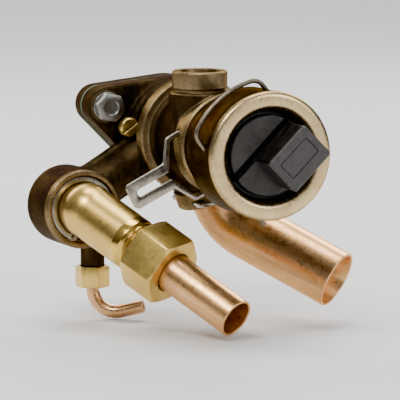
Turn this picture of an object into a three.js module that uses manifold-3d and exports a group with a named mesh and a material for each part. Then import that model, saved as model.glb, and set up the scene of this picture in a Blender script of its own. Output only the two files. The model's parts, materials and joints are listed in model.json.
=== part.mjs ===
// Three-way diverter valve with a front actuator, as an assembly of separate parts.
// Units are millimetres, +Z is up, +X is right and -Y is the front (the actuator side).
// The origin is the middle of the rear cover's back face, on the spindle axis (Y).
// A station is a distance measured forwards (-Y) from that face.
import * as THREE from "three";
import { mergeVertices } from "three/addons/utils/BufferGeometryUtils.js";
import Module from "manifold-3d";

const wasm = await Module();
wasm.setup();

// ---------------------------------------------------------------- driving dimensions
const TOLERANCE = 0.02; // slivers smaller than this are merged away
const LARGE_FACETS = 22; // facets on the large turned diameters
const SMALL_FACETS = 12; // facets on the small ones
const BEND_STEPS = 6; // steps round a pipe bend

// "back" and "front" are stations throughout
const FLANGE = { radius: 20.5, earRadius: 7.6, back: 7.2, front: 14.7 };
const BOLTS = [[-28, 10], [28, -10]]; // x and z of the flange ears and their bolts
const BOLT_RADIUS = 2.9; // M6 shank drawn undersize
const COVER_FRONT = 6;
const GASKET_GAP = 0.15; // clearance on each face of the gasket

const CHAMBER_RADIUS = 17.5; // outside of the valve chamber
const END_BORE_RADIUS = 13.5; // behind the rear shoulder and in front of the front one
const MID_BORE_RADIUS = 12.4;
const REAR_SHOULDER = 29;
const FRONT_SHOULDER = 49;
const BODY_FRONT = 72;

const DUCT_STATION = 17.5; // duct to the heating branch
const COMMON_STATION = 39; // common port, midway between the seats
const COMMON_TILT = THREE.MathUtils.degToRad(20); // from straight down, to the right
const EXCHANGER = { x: -7, station: 58 }; // heat-exchanger port
const PLUG = { x: -21.2, z: 2.4 }; // vent plug on the flange

// Socket of the heating branch, its axis parallel to the spindle
const BRANCH = { x: -44.1, z: -26.7, radius: 15, back: 9.5, front: 33 };
const DRAIN = { x: BRANCH.x + 7.5, z: BRANCH.z - 6.5, station: 22 };
const ELBOW_STATION = 38; // where the elbow turns
const OUTLET_END = 40; // threaded end of the elbow outlet, from the turn

const COMMON_PIPE = { radius: 11, bore: 10 };
const HEATING_PIPE = { radius: 7.5, bore: 6.6 };

const CUP = { radius: 24, bore: 17, back: 88, floor: 92, front: 112 }; // actuator cup
const HAIRPIN_STATION = 66; // clip in the front end of the body
const WIRE_CLIP = { station: 103.6, leg: 16 }; // leg: distance of each leg from the middle

const MOTOR_MIDDLE = 103.2; // station midway between the stator cups
const BLOCK = { x: 7, z: 0, halfLength: 10, halfWidth: 7.75, front: 123 }; // terminal housing
const TERMINAL_COUNT = 4;
const TERMINAL_PITCH = 3;

// ---------------------------------------------------------------- materials
const finish = (look) => new THREE.MeshStandardMaterial(look);
const castBrass = finish({ color: 0x8a6a3c, roughness: 0.55, metalness: 0.9 });
const turnedBrass = finish({ color: 0xcbb07a, roughness: 0.28, metalness: 1 });
const yellowBrass = finish({ color: 0xd6b45c, roughness: 0.3, metalness: 1 });
const copper = finish({ color: 0xd08a5c, roughness: 0.3, metalness: 1 });
const steel = finish({ color: 0xb8babc, roughness: 0.35, metalness: 1 });
const stainless = finish({ color: 0xc4c6c8, roughness: 0.25, metalness: 1 });
const blackPlastic = finish({ color: 0x2a2a2c, roughness: 0.5, metalness: 0 });
const greyPlastic = finish({ color: 0x6b6e70, roughness: 0.6, metalness: 0 });
const epdm = finish({ color: 0x151515, roughness: 0.85, metalness: 0 });
const fibre = finish({ color: 0x2f5a3a, roughness: 0.9, metalness: 0 });
const ferrite = finish({ color: 0x3a3a3d, roughness: 0.7, metalness: 0.2 });
const enamel = finish({ color: 0xa8542c, roughness: 0.4, metalness: 0.5 });
const boardGreen = finish({ color: 0x2e6b3f, roughness: 0.6, metalness: 0 });

// ---------------------------------------------------------------- solids
// A three.js geometry as a closed solid, turned outside out if it was built inside out.
function solid(geometry, placement) {
  const loose = geometry.index ? geometry.toNonIndexed() : geometry;
  const bare = new THREE.BufferGeometry();
  bare.setAttribute("position", loose.getAttribute("position"));
  if (placement) bare.applyMatrix4(placement);
  const merged = mergeVertices(bare, 1e-4);
  const index = merged.index.array;
  const positions = merged.attributes.position.array;
  const corner = (vertex) => new THREE.Vector3().fromArray(positions, vertex * 3);
  const triangles = [];
  let volume = 0;
  for (let i = 0; i < index.length; i += 3) {
    const [a, b, c] = [index[i], index[i + 1], index[i + 2]];
    if (a === b || b === c || a === c) continue;
    triangles.push(a, b, c);
    volume += corner(a).dot(corner(b).cross(corner(c)));
  }
  if (volume < 0) triangles.reverse();
  return new wasm.Manifold(
    new wasm.Mesh({
      numProp: 3,
      vertProperties: new Float32Array(positions),
      triVerts: new Uint32Array(triangles),
    }),
  );
}

function geometryOf(part) {
  const mesh = part.getMesh();
  const geometry = new THREE.BufferGeometry();
  const positions = new Float32Array(mesh.vertProperties);
  geometry.setAttribute("position", new THREE.BufferAttribute(positions, 3));
  geometry.setIndex(new THREE.BufferAttribute(new Uint32Array(mesh.triVerts), 1));
  geometry.computeVertexNormals();
  return geometry;
}

const assembly = new THREE.Group();
function addPart(name, material, part) {
  const mesh = new THREE.Mesh(geometryOf(part.simplify(TOLERANCE)), material);
  mesh.name = name;
  assembly.add(mesh);
}

const join = (base, ...parts) => parts.reduce((whole, part) => whole.add(part), base);
const cut = (base, ...tools) => tools.reduce((whole, tool) => whole.subtract(tool), base);
const moved = (part, matrix) => part.transform(matrix.elements);

// ---------------------------------------------------------------- turned parts and prisms
// Closed profiles of [radius, distance along the axis] points.
const rod = (radius, start, end) => [[0, start], [radius, start], [radius, end], [0, end]];
const ring = (inner, outer, start, end) => [
  [inner, start], [outer, start], [outer, end], [inner, end],
];

// Turned about the local +Y axis.
function turnedLocal(profile, facets = SMALL_FACETS) {
  const outline = profile.map(([radius, height]) => new THREE.Vector2(radius, height));
  outline.push(outline[0].clone());
  return solid(new THREE.LatheGeometry(outline, facets));
}
// Turned about the +Y axis of a frame.
const turnedIn = (frame, profile, facets) => moved(turnedLocal(profile, facets), frame);
// Turned about the spindle axis from [radius, station] points.
const turned = (profile, facets = LARGE_FACETS) =>
  turnedLocal(profile.map(([radius, station]) => [radius, -station]), facets);

// Swaps rear and front of a [radius, station] profile about a middle station.
const mirrorStations = (profile, middle) =>
  profile.map(([radius, station]) => [radius, 2 * middle - station]);
// The other half of an outline that is symmetric about x = 0.
const mirrorX = (points) => points.map(([x, y]) => [-x, y]).reverse();

// Each argument is a [low, high] range.
function box([x0, x1], [y0, y1], [z0, z1]) {
  return solid(
    new THREE.BoxGeometry(x1 - x0, y1 - y0, z1 - z0),
    new THREE.Matrix4().makeTranslation((x0 + x1) / 2, (y0 + y1) / 2, (z0 + z1) / 2),
  );
}
// Box whose second range is in stations.
const stationBox = (xRange, [back, front], zRange) => box(xRange, [-front, -back], zRange);
// Two boxes mirrored about x = 0.
const boxPair = ([inner, outer], yRange, zRange) => [
  box([-outer, -inner], yRange, zRange),
  box([inner, outer], yRange, zRange),
];

// Cylinder parallel to the spindle.
function cylinderAt(x, z, radius, back, front, facets = 16) {
  return solid(
    new THREE.CylinderGeometry(radius, radius, front - back, facets),
    new THREE.Matrix4().makeTranslation(x, -(back + front) / 2, z),
  );
}

// Hexagon along +Y, its corners chamfered at about 30 degrees.
function hexPrism(acrossFlats, start, end, chamfer) {
  const radius = acrossFlats / Math.sqrt(3);
  const prism = solid(
    new THREE.CylinderGeometry(radius, radius, end - start, 6),
    new THREE.Matrix4().makeTranslation(0, (start + end) / 2, 0),
  );
  const rise = chamfer * 0.58;
  const cone = [
    [0, start], [radius - chamfer, start], [radius, start + rise],
    [radius, end - rise], [radius - chamfer, end], [0, end],
  ];
  return prism.intersect(turnedLocal(cone, 24));
}

// Rod on the spindle axis with two flats.
function doubleD(radius, halfFlats, back, front) {
  const reach = radius + 1;
  return turned(rod(radius, back, front), SMALL_FACETS).intersect(
    stationBox([-halfFlats, halfFlats], [back, front], [-reach, reach]),
  );
}

// ---------------------------------------------------------------- outlines and tubes
function closedPath(points, PathType = THREE.Shape) {
  const path = new PathType(points.map(([x, y]) => new THREE.Vector2(x, y)));
  path.closePath();
  return path;
}

function arcPoints(x, y, radius, from, to, steps) {
  return Array.from({ length: steps + 1 }, (_, i) => {
    const angle = from + ((to - from) * i) / steps;
    return [x + radius * Math.cos(angle), y + radius * Math.sin(angle)];
  });
}

// Two-bolt flange: a round middle with an ear at each bolt, joined by tangents.
function flangePlate(back, front) {
  const [[earX, earZ]] = BOLTS;
  const toEar = Math.atan2(earZ, earX);
  const half = Math.acos((FLANGE.radius - FLANGE.earRadius) / Math.hypot(earX, earZ));
  const points = BOLTS.flatMap(([x, z], i) => {
    const middle = toEar + i * Math.PI;
    return [
      ...arcPoints(x, z, FLANGE.earRadius, middle - half, middle + half, 8),
      ...arcPoints(0, 0, FLANGE.radius, middle + half, middle + Math.PI - half, 6),
    ];
  });
  const geometry = new THREE.ExtrudeGeometry(closedPath(points), {
    depth: front - back,
    bevelEnabled: false,
  });
  // the outline lies in XZ and is extruded towards the front
  const place = new THREE.Matrix4().makeRotationX(Math.PI / 2).setPosition(0, -back, 0);
  return solid(geometry, place);
}
const boltHoles = (radius, back, front, facets) =>
  BOLTS.map(([x, z]) => cylinderAt(x, z, radius, back, front, facets));

// Polyline path sampled exactly at its points, with mitred tangents.
class PipeRun extends THREE.Curve {
  constructor(points) {
    super();
    this.points = points;
  }
  getPointAt(fraction, target = new THREE.Vector3()) {
    const last = this.points.length - 1;
    const place = fraction * last;
    const i = Math.min(Math.floor(place), last - 1);
    return target.copy(this.points[i]).lerp(this.points[i + 1], place - i);
  }
  // At either end one of the two directions is zero, which leaves the other.
  getTangentAt(fraction, target = new THREE.Vector3()) {
    const last = this.points.length - 1;
    const i = Math.round(fraction * last);
    const here = this.points[i];
    const arriving = here.clone().sub(this.points[Math.max(i - 1, 0)]).normalize();
    const leaving = this.points[Math.min(i + 1, last)].clone().sub(here).normalize();
    return target.copy(arriving.add(leaving)).normalize();
  }
}

// Round wire, or pipe if a bore is given, along a list of points.
function tube(points, radius, facets, bore = 0) {
  const circle = (size, turn) =>
    Array.from({ length: facets }, (_, i) => {
      const angle = ((turn * i) / facets) * Math.PI * 2;
      return [size * Math.cos(angle), size * Math.sin(angle)];
    });
  const section = closedPath(circle(radius, 1));
  if (bore > 0) section.holes.push(closedPath(circle(bore, -1), THREE.Path));
  return solid(
    new THREE.ExtrudeGeometry(section, {
      steps: points.length - 1,
      extrudePath: new PipeRun(points),
      bevelEnabled: false,
    }),
  );
}

// Points of a straight, a bend from one unit direction to another, and a second straight.
function bentRun({ start, from, before, radius, to, after }) {
  const angle = from.angleTo(to);
  const side = to.clone().addScaledVector(from, -to.dot(from)).normalize();
  const bendStart = start.clone().addScaledVector(from, before);
  const points = [start];
  for (let i = 0; i <= BEND_STEPS; i++) {
    const swept = (angle * i) / BEND_STEPS;
    points.push(
      bendStart
        .clone()
        .addScaledVector(from, radius * Math.sin(swept))
        .addScaledVector(side, radius * (1 - Math.cos(swept))),
    );
  }
  points.push(points.at(-1).clone().addScaledVector(to, after));
  return points;
}

// ---------------------------------------------------------------- shared frames
// Frame whose +Y is the given unit direction.
function frameAlong(direction, origin) {
  const turn = new THREE.Quaternion().setFromUnitVectors(
    new THREE.Vector3(0, 1, 0),
    direction,
  );
  return new THREE.Matrix4().makeRotationFromQuaternion(turn).setPosition(origin);
}
// Frame parallel to the spindle whose +Y runs forwards, so its distances are stations.
const forwardFrame = (x, z) =>
  new THREE.Matrix4().makeRotationX(Math.PI).setPosition(x, 0, z);

// Frame of a clip: XY is its plane, +Y is the way it is pulled out.
function clipFrame(pull, station) {
  const across = new THREE.Vector3(pull.z, 0, -pull.x);
  return new THREE.Matrix4()
    .makeBasis(across, pull, across.clone().cross(pull))
    .setPosition(0, -station, 0);
}
const hairpinFrame = clipFrame(
  new THREE.Vector3(-0.894, 0, -0.449).normalize(),
  HAIRPIN_STATION,
);
const wireClipFrame = clipFrame(new THREE.Vector3(-0.629, 0, 0.777), WIRE_CLIP.station);

const down = new THREE.Vector3(0, 0, -1);
const branchShift = new THREE.Matrix4().makeTranslation(BRANCH.x, 0, BRANCH.z);
const ductLength = Math.hypot(BRANCH.x, BRANCH.z);
const ductFrame = frameAlong(
  new THREE.Vector3(BRANCH.x, 0, BRANCH.z).normalize(),
  new THREE.Vector3(0, -DUCT_STATION, 0),
);
const drainOrigin = new THREE.Vector3(DRAIN.x, -DRAIN.station, DRAIN.z);
const drainFrame = frameAlong(down, drainOrigin);
const exchangerFrame = frameAlong(
  new THREE.Vector3(0, 0, 1),
  new THREE.Vector3(EXCHANGER.x, -EXCHANGER.station, 0),
);
const elbowCentre = new THREE.Vector3(BRANCH.x, -ELBOW_STATION, BRANCH.z);
const outletFrame = frameAlong(
  new THREE.Vector3(0.462, -0.766, -0.4467).normalize(),
  elbowCentre,
);

// Common port: -Z of commonFrame, and +Y of commonTurn, run down the port.
const commonOrigin = new THREE.Vector3(0, -COMMON_STATION, 0);
const commonDirection = new THREE.Vector3(Math.sin(COMMON_TILT), 0, -Math.cos(COMMON_TILT));
const commonFrame = new THREE.Matrix4().makeRotationY(-COMMON_TILT).setPosition(commonOrigin);
const commonTurn = commonFrame
  .clone()
  .multiply(new THREE.Matrix4().makeRotationX(-Math.PI / 2));

// ---------------------------------------------------------------- valve body
function bodyOutside() {
  const chamber = [
    [0, FLANGE.back], [19.5, FLANGE.back], [19.5, 16.2], [CHAMBER_RADIUS, 18],
    [CHAMBER_RADIUS, 28.6], [21.6, 30], [22.4, 30.8], [22.4, 36.2], [21.6, 37],
    [CHAMBER_RADIUS, 37.6], [CHAMBER_RADIUS, 61.6], [19.6, 63], [19.6, 71.2],
    [18.8, BODY_FRONT], [0, BODY_FRONT],
  ];
  const commonBoss = [
    [0, 0], [15, 0], [15, 16], [16, 17.5], [16, 23.4], [15.4, 24], [0, 24],
  ];
  const exchangerStub = [
    [0, 0], [11.6, 0], [11.6, 19], [9.6, 19.3], [9.6, 20.2],
    [10.4, 20.8], [10.4, 26.5], [9.9, 27], [0, 27],
  ];
  const branchSocket = [
    [0, BRANCH.back], [13.6, BRANCH.back], [BRANCH.radius, 10.9],
    [BRANCH.radius, 32.2], [14.2, BRANCH.front], [0, BRANCH.front],
  ];
  return join(
    flangePlate(FLANGE.back, FLANGE.front),
    turned(chamber),
    turnedIn(commonTurn, commonBoss, 16),
    turnedIn(exchangerFrame, exchangerStub, 18),
    cylinderAt(PLUG.x, PLUG.z, 3.8, 12, 19, 12), // plug boss
    turnedIn(ductFrame, rod(8.6, 0, ductLength), 14),
    moved(turned(branchSocket, 20), branchShift),
    turnedIn(drainFrame, rod(4.6, 1, 19.6)),
  );
}

function valveBody() {
  const mainBore = [
    [0, 5], [END_BORE_RADIUS, 5], [END_BORE_RADIUS, REAR_SHOULDER],
    [MID_BORE_RADIUS, REAR_SHOULDER], [MID_BORE_RADIUS, FRONT_SHOULDER],
    [END_BORE_RADIUS, FRONT_SHOULDER], [END_BORE_RADIUS, BODY_FRONT + 1], [0, BODY_FRONT + 1],
  ];
  const commonBore = [
    [0, 0], [9.6, 0], [9.6, 14.5], [11.3, 14.5], [11.3, 15.6], [12.9, 15.6], [12.9, 17.9],
    [11.3, 17.9], [11.3, 18.6], [12.9, 18.6], [12.9, 25], [0, 25],
  ];
  const branchBore = [
    [0, 11.5], [8.4, 11.5], [8.4, 28.8], [11.7, 28.8], [11.7, 31],
    [12.7, 31], [12.7, 32.2], [11.7, 32.2], [11.7, 34], [0, 34],
  ];
  const forkSlots = boxPair([11.1, 13.75], [-22, 22], [-22.55, -20.55]);
  const hairpinSlots = boxPair([11.4, 13.9], [-26, 26], [-0.95, 0.95]);
  return cut(
    bodyOutside(),
    turned(mainBore),
    turnedIn(commonTurn, commonBore, 20),
    ...forkSlots.map((slot) => moved(slot, commonFrame)),
    turnedIn(ductFrame, rod(5.5, 0, ductLength)),
    moved(turned(branchBore, 20), branchShift),
    turnedIn(drainFrame, rod(1.9, -3, 22), 10),
    turnedIn(exchangerFrame, rod(6.4, 0, 28), 16),
    ...hairpinSlots.map((slot) => moved(slot, hairpinFrame)),
    ...boltHoles(3.3, 6, 16, 12),
    cylinderAt(PLUG.x, PLUG.z, 2.3, 15, 20, 12),
  );
}
addPart("valve_body", castBrass, valveBody());

// Flat hairpin that holds the bonnet.
function bonnetClip() {
  const thickness = 1.4;
  // x, y of the right half, from the handle down the outside and back up the inside
  const half = [
    [3.8, 42.5], [5.2, 41.1], [5.2, 25.2], [13.4, 20], [13.4, -15],
    [11.9, -15], [11.9, 19], [1.5, 24.6], [1.5, 39.3],
  ];
  const geometry = new THREE.ExtrudeGeometry(closedPath([...half, ...mirrorX(half)]), {
    depth: thickness,
    bevelEnabled: false,
  });
  const centred = new THREE.Matrix4().makeTranslation(0, 0, -thickness / 2);
  return moved(solid(geometry, centred), hairpinFrame);
}
addPart("bonnet_clip", stainless, bonnetClip());

// Plug with a screwdriver slot.
function ventPlug() {
  const profile = [
    [0, 15.3], [1.9, 15.3], [1.9, 19.15], [3.6, 19.15], [3.6, 21.6], [3.2, 22.1], [0, 22.1],
  ];
  const slot = stationBox([-5, 5], [20.9, 23], [-0.5, 0.5]);
  const place = new THREE.Matrix4().makeTranslation(PLUG.x, 0, PLUG.z);
  return moved(cut(turned(profile, 12), slot), place);
}
addPart("vent_plug", yellowBrass, ventPlug());

// ---------------------------------------------------------------- rear cover, gasket, bolts
function rearCover() {
  const spigot = [[0, 3], [13.2, 3], [13.2, 9.2], [12.4, 9.8], [0, 9.8]];
  return cut(
    join(flangePlate(0, COVER_FRONT), turned(spigot)),
    turned(rod(10.2, 4, 11)),
    ...boltHoles(3.05, -1, 7),
  );
}
addPart("rear_cover", castBrass, rearCover());

addPart(
  "cover_gasket",
  fibre,
  cut(
    flangePlate(COVER_FRONT + GASKET_GAP, FLANGE.back - GASKET_GAP),
    turned(rod(13.4, 5, 8)),
    ...boltHoles(3.3, 5, 8),
  ),
);

// Bolt with its head in front of the flange.
function coverBolt() {
  const shank = [
    [0, 0.4], [2.4, 0.4], [BOLT_RADIUS, 0.9], [BOLT_RADIUS, 16.3], [0, 16.3],
  ];
  return join(hexPrism(10, 16.15, 20.4, 0.7), turnedLocal(shank, 16));
}
BOLTS.forEach(([x, z], i) => {
  const place = forwardFrame(x, z);
  addPart(`cover_washer_${i + 1}`, steel, turnedIn(place, ring(3.2, 5.6, 14.85, 16), 20));
  addPart(`cover_bolt_${i + 1}`, steel, moved(coverBolt(), place));
});

// ---------------------------------------------------------------- seats
const seatProfile = [
  [8, 24.7], [13.3, 24.7], [13.3, 28.7], [12.1, 28.7],
  [12.1, 27.6], [9.4, 27.6], [8.9, 28.8], [8, 28.8],
];
addPart("rear_seat", yellowBrass, turned(seatProfile));
addPart("front_seat", yellowBrass, turned(mirrorStations(seatProfile, COMMON_STATION)));

// ---------------------------------------------------------------- bonnet with the actuator cup
function bonnet() {
  const profile = [
    // outside, from the spigot in the body to the cup's rim
    [2.75, 64.4], [12.6, 64.4], [13.2, 65], [11.7, 65], [11.7, 67], [13.2, 67], [13.2, 68],
    [11.7, 68], [11.7, 70.2], [13.2, 70.2], [13.2, 72.2], [18.4, 72.2], [18.8, 72.8],
    [18.8, 75.2], [18.2, 75.8], [14.6, 76.4], [14.6, 86.2], [16.4, 87.8], [22.8, CUP.back],
    [23.6, 88.6], [23.6, 107.2], [CUP.radius, 107.8], [CUP.radius, 110.6], [23.3, 111.6],
    // rim, then the inside back to the spindle hole
    [22.2, CUP.front], [18.6, CUP.front], [17.5, 111.5], [CUP.bore, 110.6],
    [CUP.bore, CUP.floor], [8.5, CUP.floor], [8.5, 80], [7.1, 80], [7.1, 74.2],
    [4.9, 74.2], [4.9, 69], [2.75, 69],
  ];
  // cross holes for the legs of the wire clip
  const legHoles = [-1, 1].map((side) => {
    const shift = new THREE.Matrix4().makeTranslation(side * WIRE_CLIP.leg, 0, 0);
    return turnedIn(wireClipFrame.clone().multiply(shift), rod(1.15, -30, 32), 8);
  });
  return cut(turned(profile), ...legHoles);
}
addPart("bonnet", turnedBrass, bonnet());
addPart(
  "bonnet_o_ring",
  epdm,
  turned([
    [11.8, 68.3], [12.8, 68.15], [13.25, 68.6], [13.25, 69.6], [12.8, 70.05], [11.8, 69.9],
  ]),
);

// ---------------------------------------------------------------- gland
const innerSealProfile = [
  [2.7, 69.5], [3.3, 69.2], [4.2, 69.2], [4.75, 69.6],
  [4.75, 70.9], [4.2, 71.3], [3.3, 71.3], [2.7, 71],
];
const outerSealProfile = [
  [2.7, 72.5], [3.3, 72.3], [4.2, 72.3], [4.75, 72.6],
  [4.75, 73.7], [4.2, 74.05], [3.3, 74.05], [2.7, 73.8],
];
const glandProfile = [
  [2.58, 74.4], [6.9, 74.4], [6.9, 79.2], [6.4, 79.8], [4.4, 79.8], [4.4, 79], [2.58, 79],
];
addPart("stem_seal_inner", epdm, turned(innerSealProfile, SMALL_FACETS));
addPart("seal_spacer", yellowBrass, turned(ring(2.8, 4.75, 71.45, 72.15), SMALL_FACETS));
addPart("stem_seal_outer", epdm, turned(outerSealProfile, SMALL_FACETS));
addPart("gland_bush", yellowBrass, turned(glandProfile, SMALL_FACETS));

// ---------------------------------------------------------------- spindle group (slides along Y)
const spindleProfile = [
  [0, 31.5], [1.7, 31.5], [2, 31.8], [2, 36.2], [2.5, 36.2], [2.5, 93.55],
  [1.9, 93.55], [1.9, 94.35], [2.5, 94.35], [2.5, 95.2], [2, 95.7], [0, 95.7],
];
addPart("spindle", stainless, turned(spindleProfile, SMALL_FACETS));
addPart(
  "spindle_nut",
  stainless,
  moved(cut(hexPrism(7, 33.5, 36.1, 0.4), turnedLocal(rod(2.1, 32, 37))), forwardFrame(0, 0)),
);
addPart(
  "rear_disc",
  epdm,
  turned([
    [2.6, 36.35], [7.2, 36.35], [10.2, 36.35], [10.6, 36.9],
    [10.6, 38.6], [10.1, 39.05], [2.6, 39.05],
  ]),
);
addPart(
  "plunger_core",
  yellowBrass,
  turned([
    [2.6, 39.2], [9.8, 39.2], [9.8, 40.8], [5.6, 41.6],
    [5.6, 43.5], [9.8, 44.3], [9.8, 45.9], [2.6, 45.9],
  ]),
);
addPart(
  "front_disc",
  epdm,
  turned([
    [2.6, 46.05], [10.1, 46.05], [10.6, 46.5], [10.6, 48.35], [10.2, 48.85], [2.6, 48.85],
  ]),
);
addPart(
  "spring_plate",
  stainless,
  turned([[2.6, 92.4], [7.2, 92.4], [7.2, 92.9], [5.9, 93.45], [2.6, 93.45]], SMALL_FACETS),
);
addPart(
  "spindle_circlip",
  stainless,
  cut(
    turned(ring(2, 3.9, 93.65, 94.25), SMALL_FACETS),
    stationBox([-1.1, 1.1], [93, 95], [0, 6]), // gap at the top
  ),
);

// ---------------------------------------------------------------- return spring
function returnSpring() {
  const turns = 4;
  const stepsPerTurn = 10;
  const coilRadius = 5.3;
  const wireRadius = 0.5;
  const back = 80.8;
  const front = 91.7;
  const endShare = 0.14; // share of the wire in each closed end
  const endPitch = 0.35; // pitch of a closed end, relative to the mean
  const endRise = endShare * endPitch;
  const riseAt = (share) => {
    if (share < endShare) return share * endPitch;
    if (share > 1 - endShare) return 1 - (1 - share) * endPitch;
    return endRise + ((share - endShare) / (1 - 2 * endShare)) * (1 - 2 * endRise);
  };
  const steps = turns * stepsPerTurn;
  const points = Array.from({ length: steps + 1 }, (_, i) => {
    const share = i / steps;
    const angle = share * turns * Math.PI * 2;
    return new THREE.Vector3(
      coilRadius * Math.cos(angle),
      -(back + (front - back) * riseAt(share)),
      coilRadius * Math.sin(angle),
    );
  });
  return tube(points, wireRadius, 6);
}
addPart("return_spring", stainless, returnSpring());

// ---------------------------------------------------------------- actuator housing and terminals
// Frame of the terminal block: X runs along it, to the upper right;
// Y runs across it, to the lower right, where the socket opens.
const blockFrame = new THREE.Matrix4()
  .makeBasis(
    new THREE.Vector3(Math.SQRT1_2, 0, Math.SQRT1_2),
    new THREE.Vector3(Math.SQRT1_2, 0, -Math.SQRT1_2),
    new THREE.Vector3(0, 1, 0),
  )
  .setPosition(BLOCK.x, 0, BLOCK.z);
// Ranges along the block, across it, and in stations.
const blockBox = (along, across, [back, front]) =>
  moved(box(along, across, [-front, -back]), blockFrame);
// Slice of the block's full outline, drawn in by an inset.
function blockSlice(back, front, inset = 0) {
  const length = BLOCK.halfLength - inset;
  const width = BLOCK.halfWidth - inset;
  return blockBox([-length, length], [-width, width], [back, front]);
}
const terminals = Array.from(
  { length: TERMINAL_COUNT },
  (_, i) => (i - (TERMINAL_COUNT - 1) / 2) * TERMINAL_PITCH,
);

function actuatorHousing() {
  const shell = [
    [0, 107], [14.1, 107], [14.1, 98.6], [16.6, 98.6], [16.6, 102.5], [15, 102.5],
    [15, 104.7], [16.6, 104.7], [16.6, 106.2], [16.2, 106.6], [15.1, 106.6],
    [15.1, 109.1], [14.6, 109.6], [0, 109.6],
  ];
  // seat for the front bearing and room for the end of the lead screw
  const bearingSeat = [
    [0, 106], [5.4, 106], [5.4, 108.05], [3, 108.05], [3, 108.85], [0, 108.85],
  ];
  // the front edges are stepped in by 1 mm
  const block = blockSlice(112.5, BLOCK.front - 1).add(blockSlice(112.5, BLOCK.front, 1));
  const neck = blockSlice(108.5, 112.6).intersect(turned(rod(16.1, 108, 113)));
  // root of the block where it crosses the shoulder
  const root = blockSlice(106.3, 109).intersect(turned(ring(14.6, 16.1, 106, 110)));
  const pinSlots = terminals.flatMap((middle) => {
    const along = [middle - 0.6, middle + 0.6];
    return [
      blockBox(along, [-5, -3.6], [112.5, 118.6]),
      blockBox(along, [-5, -2.9], [117.2, 118.6]),
    ];
  });
  return cut(
    join(turned(shell, 36), block, neck, root),
    blockBox([-7.6, 7.6], [-3, 9], [114.8, 121.2]), // plug socket
    blockBox([-7, 7], [-5.9, 4], [110.5, 113.2]), // pocket for the board
    blockBox([-3, 3], [1, 3], [106.5, 111]), // slot from the pocket back through the disc
    ...pinSlots,
    turned(bearingSeat, SMALL_FACETS),
    // groove across the disc, on the upper left of the block
    blockBox([-14, 11], [-10.2, -7.95], [108.5, 110]),
  );
}
addPart("actuator_housing", blackPlastic, actuatorHousing());
addPart("circuit_board", boardGreen, blockBox([-6.7, 6.7], [-5.6, 3.7], [110.8, 111.8]));

// Angled pin: a leg forwards from the board and an arm into the socket.
function terminalPin(middle) {
  const along = [middle - 0.4, middle + 0.4];
  return join(
    blockBox(along, [-4.7, -3.9], [112, 118.3]),
    blockBox(along, [-4.7, 3.2], [117.5, 118.3]),
  );
}
terminals.forEach((middle, i) => {
  addPart(`terminal_pin_${i + 1}`, yellowBrass, terminalPin(middle));
});

// ---------------------------------------------------------------- actuator base and motor
function actuatorBase() {
  const profile = [
    [0, 96.6], [16.5, 96.6], [16.5, 96.95], [15.3, 96.95], [15.3, 98.05], [16.5, 98.05],
    [16.5, 98.4], [13.8, 98.4], [13.8, 99.6], [5.4, 99.6], [5.4, 98.35], [0, 98.35],
  ];
  return cut(turned(profile), doubleD(2.62, 1.92, 96, 99));
}
addPart("actuator_base", blackPlastic, actuatorBase());
addPart(
  "actuator_o_ring",
  epdm,
  turned([
    [15.45, 97.1], [16.4, 97.05], [16.85, 97.35], [16.85, 97.65], [16.4, 97.95], [15.45, 97.9],
  ]),
);
addPart("rotor_bearing_rear", greyPlastic, turned(ring(3.8, 5.2, 98.5, 99.5), SMALL_FACETS));
addPart(
  "rotor_bearing_front",
  greyPlastic,
  turned(ring(3.8, 5.2, 106.85, 107.9), SMALL_FACETS),
);

const statorProfile = [
  [8.6, 99.8], [13.8, 99.8], [13.8, 103.1], [13.1, 103.1],
  [13.1, 100.5], [9.3, 100.5], [9.3, 103.1], [8.6, 103.1],
];
const coilProfile = ring(9.5, 12.9, 100.7, 103.05);
for (const [name, material, profile] of [
  ["stator_cup", steel, statorProfile],
  ["coil", enamel, coilProfile],
]) {
  addPart(`${name}_rear`, material, turned(profile));
  addPart(`${name}_front`, material, turned(mirrorStations(profile, MOTOR_MIDDLE)));
}
addPart(
  "rotor_magnet",
  ferrite,
  turned([
    [4.25, 100.2], [7.9, 100.2], [8.2, 100.5], [8.2, 105.9], [7.9, 106.2], [4.25, 106.2],
  ]),
);
const rotorNutProfile = [
  [2.7, 98.7], [3.6, 98.7], [3.6, 99.9], [4.1, 99.9],
  [4.1, 106.4], [3.6, 106.4], [3.6, 107.75], [2.7, 107.75],
];
addPart("rotor_nut", yellowBrass, turned(rotorNutProfile, SMALL_FACETS));
addPart("lead_screw", stainless, doubleD(2.5, 1.8, 96, 108.6));

// Wire clip that holds the actuator in the cup.
function retainingClip() {
  // x, y of one leg and its half of the bow
  const half = [
    [-WIRE_CLIP.leg, -21], [-WIRE_CLIP.leg, 19.5], [-15.7, 21.6],
    [-14.6, 23.4], [-12.4, 24.9], [-8, 26.2],
  ];
  const points = [...half, [0, 27.2], ...mirrorX(half)].map(([x, y]) =>
    new THREE.Vector3(x, y, 0).applyMatrix4(wireClipFrame),
  );
  return tube(points, 0.9, 8);
}
addPart("retaining_clip", stainless, retainingClip());

// ---------------------------------------------------------------- common port
const commonSealProfile = [
  [11.15, 15.9], [12, 15.75], [12.75, 16.2], [12.75, 17.3], [12, 17.75], [11.15, 17.6],
];
addPart("common_o_ring", epdm, turnedIn(commonTurn, commonSealProfile, 20));

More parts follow.
